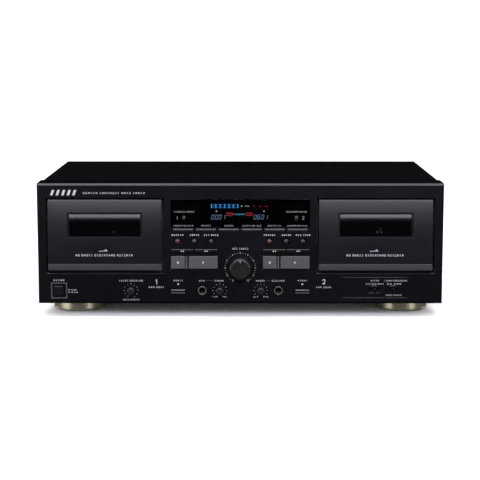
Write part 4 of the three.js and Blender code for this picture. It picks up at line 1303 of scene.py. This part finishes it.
def digit(marks, x, z, height, figure):
    """A slanted seven-segment figure with its lower left corner at x and z."""
    width, bar, slant = height * 0.5, height * 0.095, 0.16
    half = height / 2
    level = {"a": height, "g": half, "d": 0}  # the heights of the level segments
    upright = {"f": (half, height, 0), "b": (half, height, width), "e": (0, half, 0), "c": (0, half, width)}
    for name in SEGMENTS[figure]:
        start, end, across = upright.get(name) or (0, width, level[name])
        a, b = start + bar * 0.7, end - bar * 0.7
        c, d = across - bar / 2, across + bar / 2
        corners = [(a, c), (b, c), (b, d), (a, d)] if name in level else [(c, a), (d, a), (d, b), (c, b)]
        marks.shape([(x + u + slant * v, z + v) for u, v in corners])


def display():
    """The fluorescent tube behind the window: meters, counters and indicators."""
    depth = 3.4
    tube = Build().box((-42, 42), (depth + 0.05, depth + 4), (103.5, 126.5))
    tube.make("display_tube", "part_black", bevel=0.5)
    board = Build().box((-70, 70), (depth + 5, depth + 6.6), (99, 127))
    board.make("display_board", "board", bevel=0.2)

    lit = {name: Marks(depth) for name in ("cyan", "blue", "pale", "red", "white")}
    cyan, blue, pale, red, white = lit.values()
    cells, pitch = 6, 4.7
    for i in range(cells + 1):
        x = -31.4 + pitch * i
        cyan.rule(x, x + 1.1, 118.4, 4.2)
        if i < cells:
            blue.rule(x + 1.3, x + pitch - 0.2, 121.5, 1.1)
            blue.rule(x + 1.1, x + pitch, 118.4, 1.2)
    blue.rule(-30.1, -26.9, 119.9, 1.3)
    white.rule(0.9, 2.1, 119.8, 1.3)
    white.words(7.2, 119.8, 4.9, 1.4, (3,))
    red.rule(14.0, 15.3, 119.6, 1.5)
    red.rule(20.3, 21.7, 119.6, 1.5)
    red.words(27.1, 119.6, 4.2, 1.6, (2,))
    white.triangle(-25.5, 114.9, 1.2)
    white.triangle(25.3, 114.9, 1.2, 180)
    for left, figures in ((-31.1, "0001"), (14.4, "0601")):
        for i, figure in enumerate(figures):
            digit(pale, left + 3.95 * i, 106.2, 4.8, figure)
    for x0, x1 in ((-15.1, -7.9), (5.1, 13.3)):
        red.rule(x0, x1, 109.9, 0.9)
        red.rule(x0, x1, 112.6, 0.9)
        for i in range(5):
            x = x0 + (x1 - x0 - 0.8) * i / 4
            red.rule(x, x + 0.9, 110.7, 2.0)
    cyan.words(-1.6, 110.8, 11.6, 1.8, (8,))
    for name, marks in lit.items():
        marks.make(f"display_{name}", f"glow_{name}")


# ---------- stage, lights and camera

WHITE = (1, 1, 1)
COOL = (0.89, 0.88, 1.0)
SOFTBOXES = (  # name, place, what it points at, size, power and colour
    ("key", (0, -1.25, 0.70), (0, -0.13, 0.09), (1.7, 0.48), 15, COOL),
    ("overhead", (0, -0.32, 1.15), (0, -0.13, 0.1), (1.7, 0.36), 12, COOL),
    ("left", (-1.3, -0.75, 0.2), (-0.1, -0.13, 0.02), (0.9, 0.38), 5.0, WHITE),
    ("right", (1.2, -1.2, 0.2), (0.1, -0.13, 0.02), (0.4, 0.3), 3, WHITE),
    ("rear_left", (-1.6, 1.2, 1.1), (0, 0.13, 0.07), (0.8, 0.8), 8, WHITE),
    ("rear_right", (1.6, 1.2, 1.1), (0, 0.13, 0.07), (0.8, 0.8), 8, WHITE),
)


def put(name, data):
    """A new object in the scene."""
    obj = bpy.data.objects.new(name, data)
    bpy.context.scene.collection.objects.link(obj)
    return obj


def point(obj, direction):
    """Turns a light or a camera to look along a direction."""
    obj.rotation_euler = direction.to_track_quat("-Z", "Y").to_euler()


def lights():
    for name, place, target, size, energy, colour in SOFTBOXES:
        data = bpy.data.lights.new(f"{name}_softbox", "AREA")
        data.shape = "RECTANGLE"
        data.size, data.size_y = size
        data.energy = energy
        data.color = colour
        obj = put(f"{name}_softbox", data)
        obj.location = place
        point(obj, Vector(target) - Vector(place))
    sky = bpy.data.worlds.new("studio")
    sky.use_nodes = True
    background = sky.node_tree.nodes["Background"]
    background.inputs["Color"].default_value = (1, 1, 1, 1)
    background.inputs["Strength"].default_value = 1.05
    sky.cycles_visibility.glossy = False
    bpy.context.scene.world = sky


def floor():
    """A wide white floor that the deck's gloss does not mirror."""
    mesh = bpy.data.meshes.new("floor")
    half = 30.0
    corners = [(-half, -half, 0), (half, -half, 0), (half, half, 0), (-half, half, 0)]
    mesh.from_pydata(corners, [], [(0, 1, 2, 3)])
    ground = put("floor", mesh)
    paint = bpy.data.materials.new("floor_white")
    paint.use_nodes = True
    shader = paint.node_tree.nodes["Principled BSDF"]
    shader.inputs["Base Color"].default_value = (0.98, 0.98, 0.98, 1)
    shader.inputs["Specular IOR Level"].default_value = 0.0
    shader.inputs["Roughness"].default_value = 0.9
    mesh.materials.append(paint)
    ground.visible_glossy = False


def camera():
    """A long lens, a little above the deck and looking slightly down."""
    data = bpy.data.cameras.new("camera")
    data.sensor_width = 36.0
    data.lens = 107.26
    data.dof.use_dof = False
    obj = put("camera", data)
    obj.location = (0.0039, -1.6456, 0.3111)
    down, across = math.radians(8.511), math.radians(-0.159)
    level = math.cos(down)
    point(obj, Vector((math.sin(across) * level, math.cos(across) * level, -math.sin(down))))
    bpy.context.scene.camera = obj


case()
for corner in ("front_foot_left", "front_foot_right", "rear_foot_left", "rear_foot_right"):
    foot(corner)
rear()
for deck_number, deck_side in SIDES:
    door(deck_number, deck_side)
for deck_number, deck_side in SIDES:
    for fit in (well_wall, well_lamp, well_fittings, tape_head, pinch_roller, drive):
        fit(deck_number, deck_side * DECK_X)
power_supply()
board_parts()
controls()
panel_marks()
lens_marks()
key_marks()
display()
floor()
lights()
camera()
bpy.context.scene.view_settings.view_transform = "Standard"
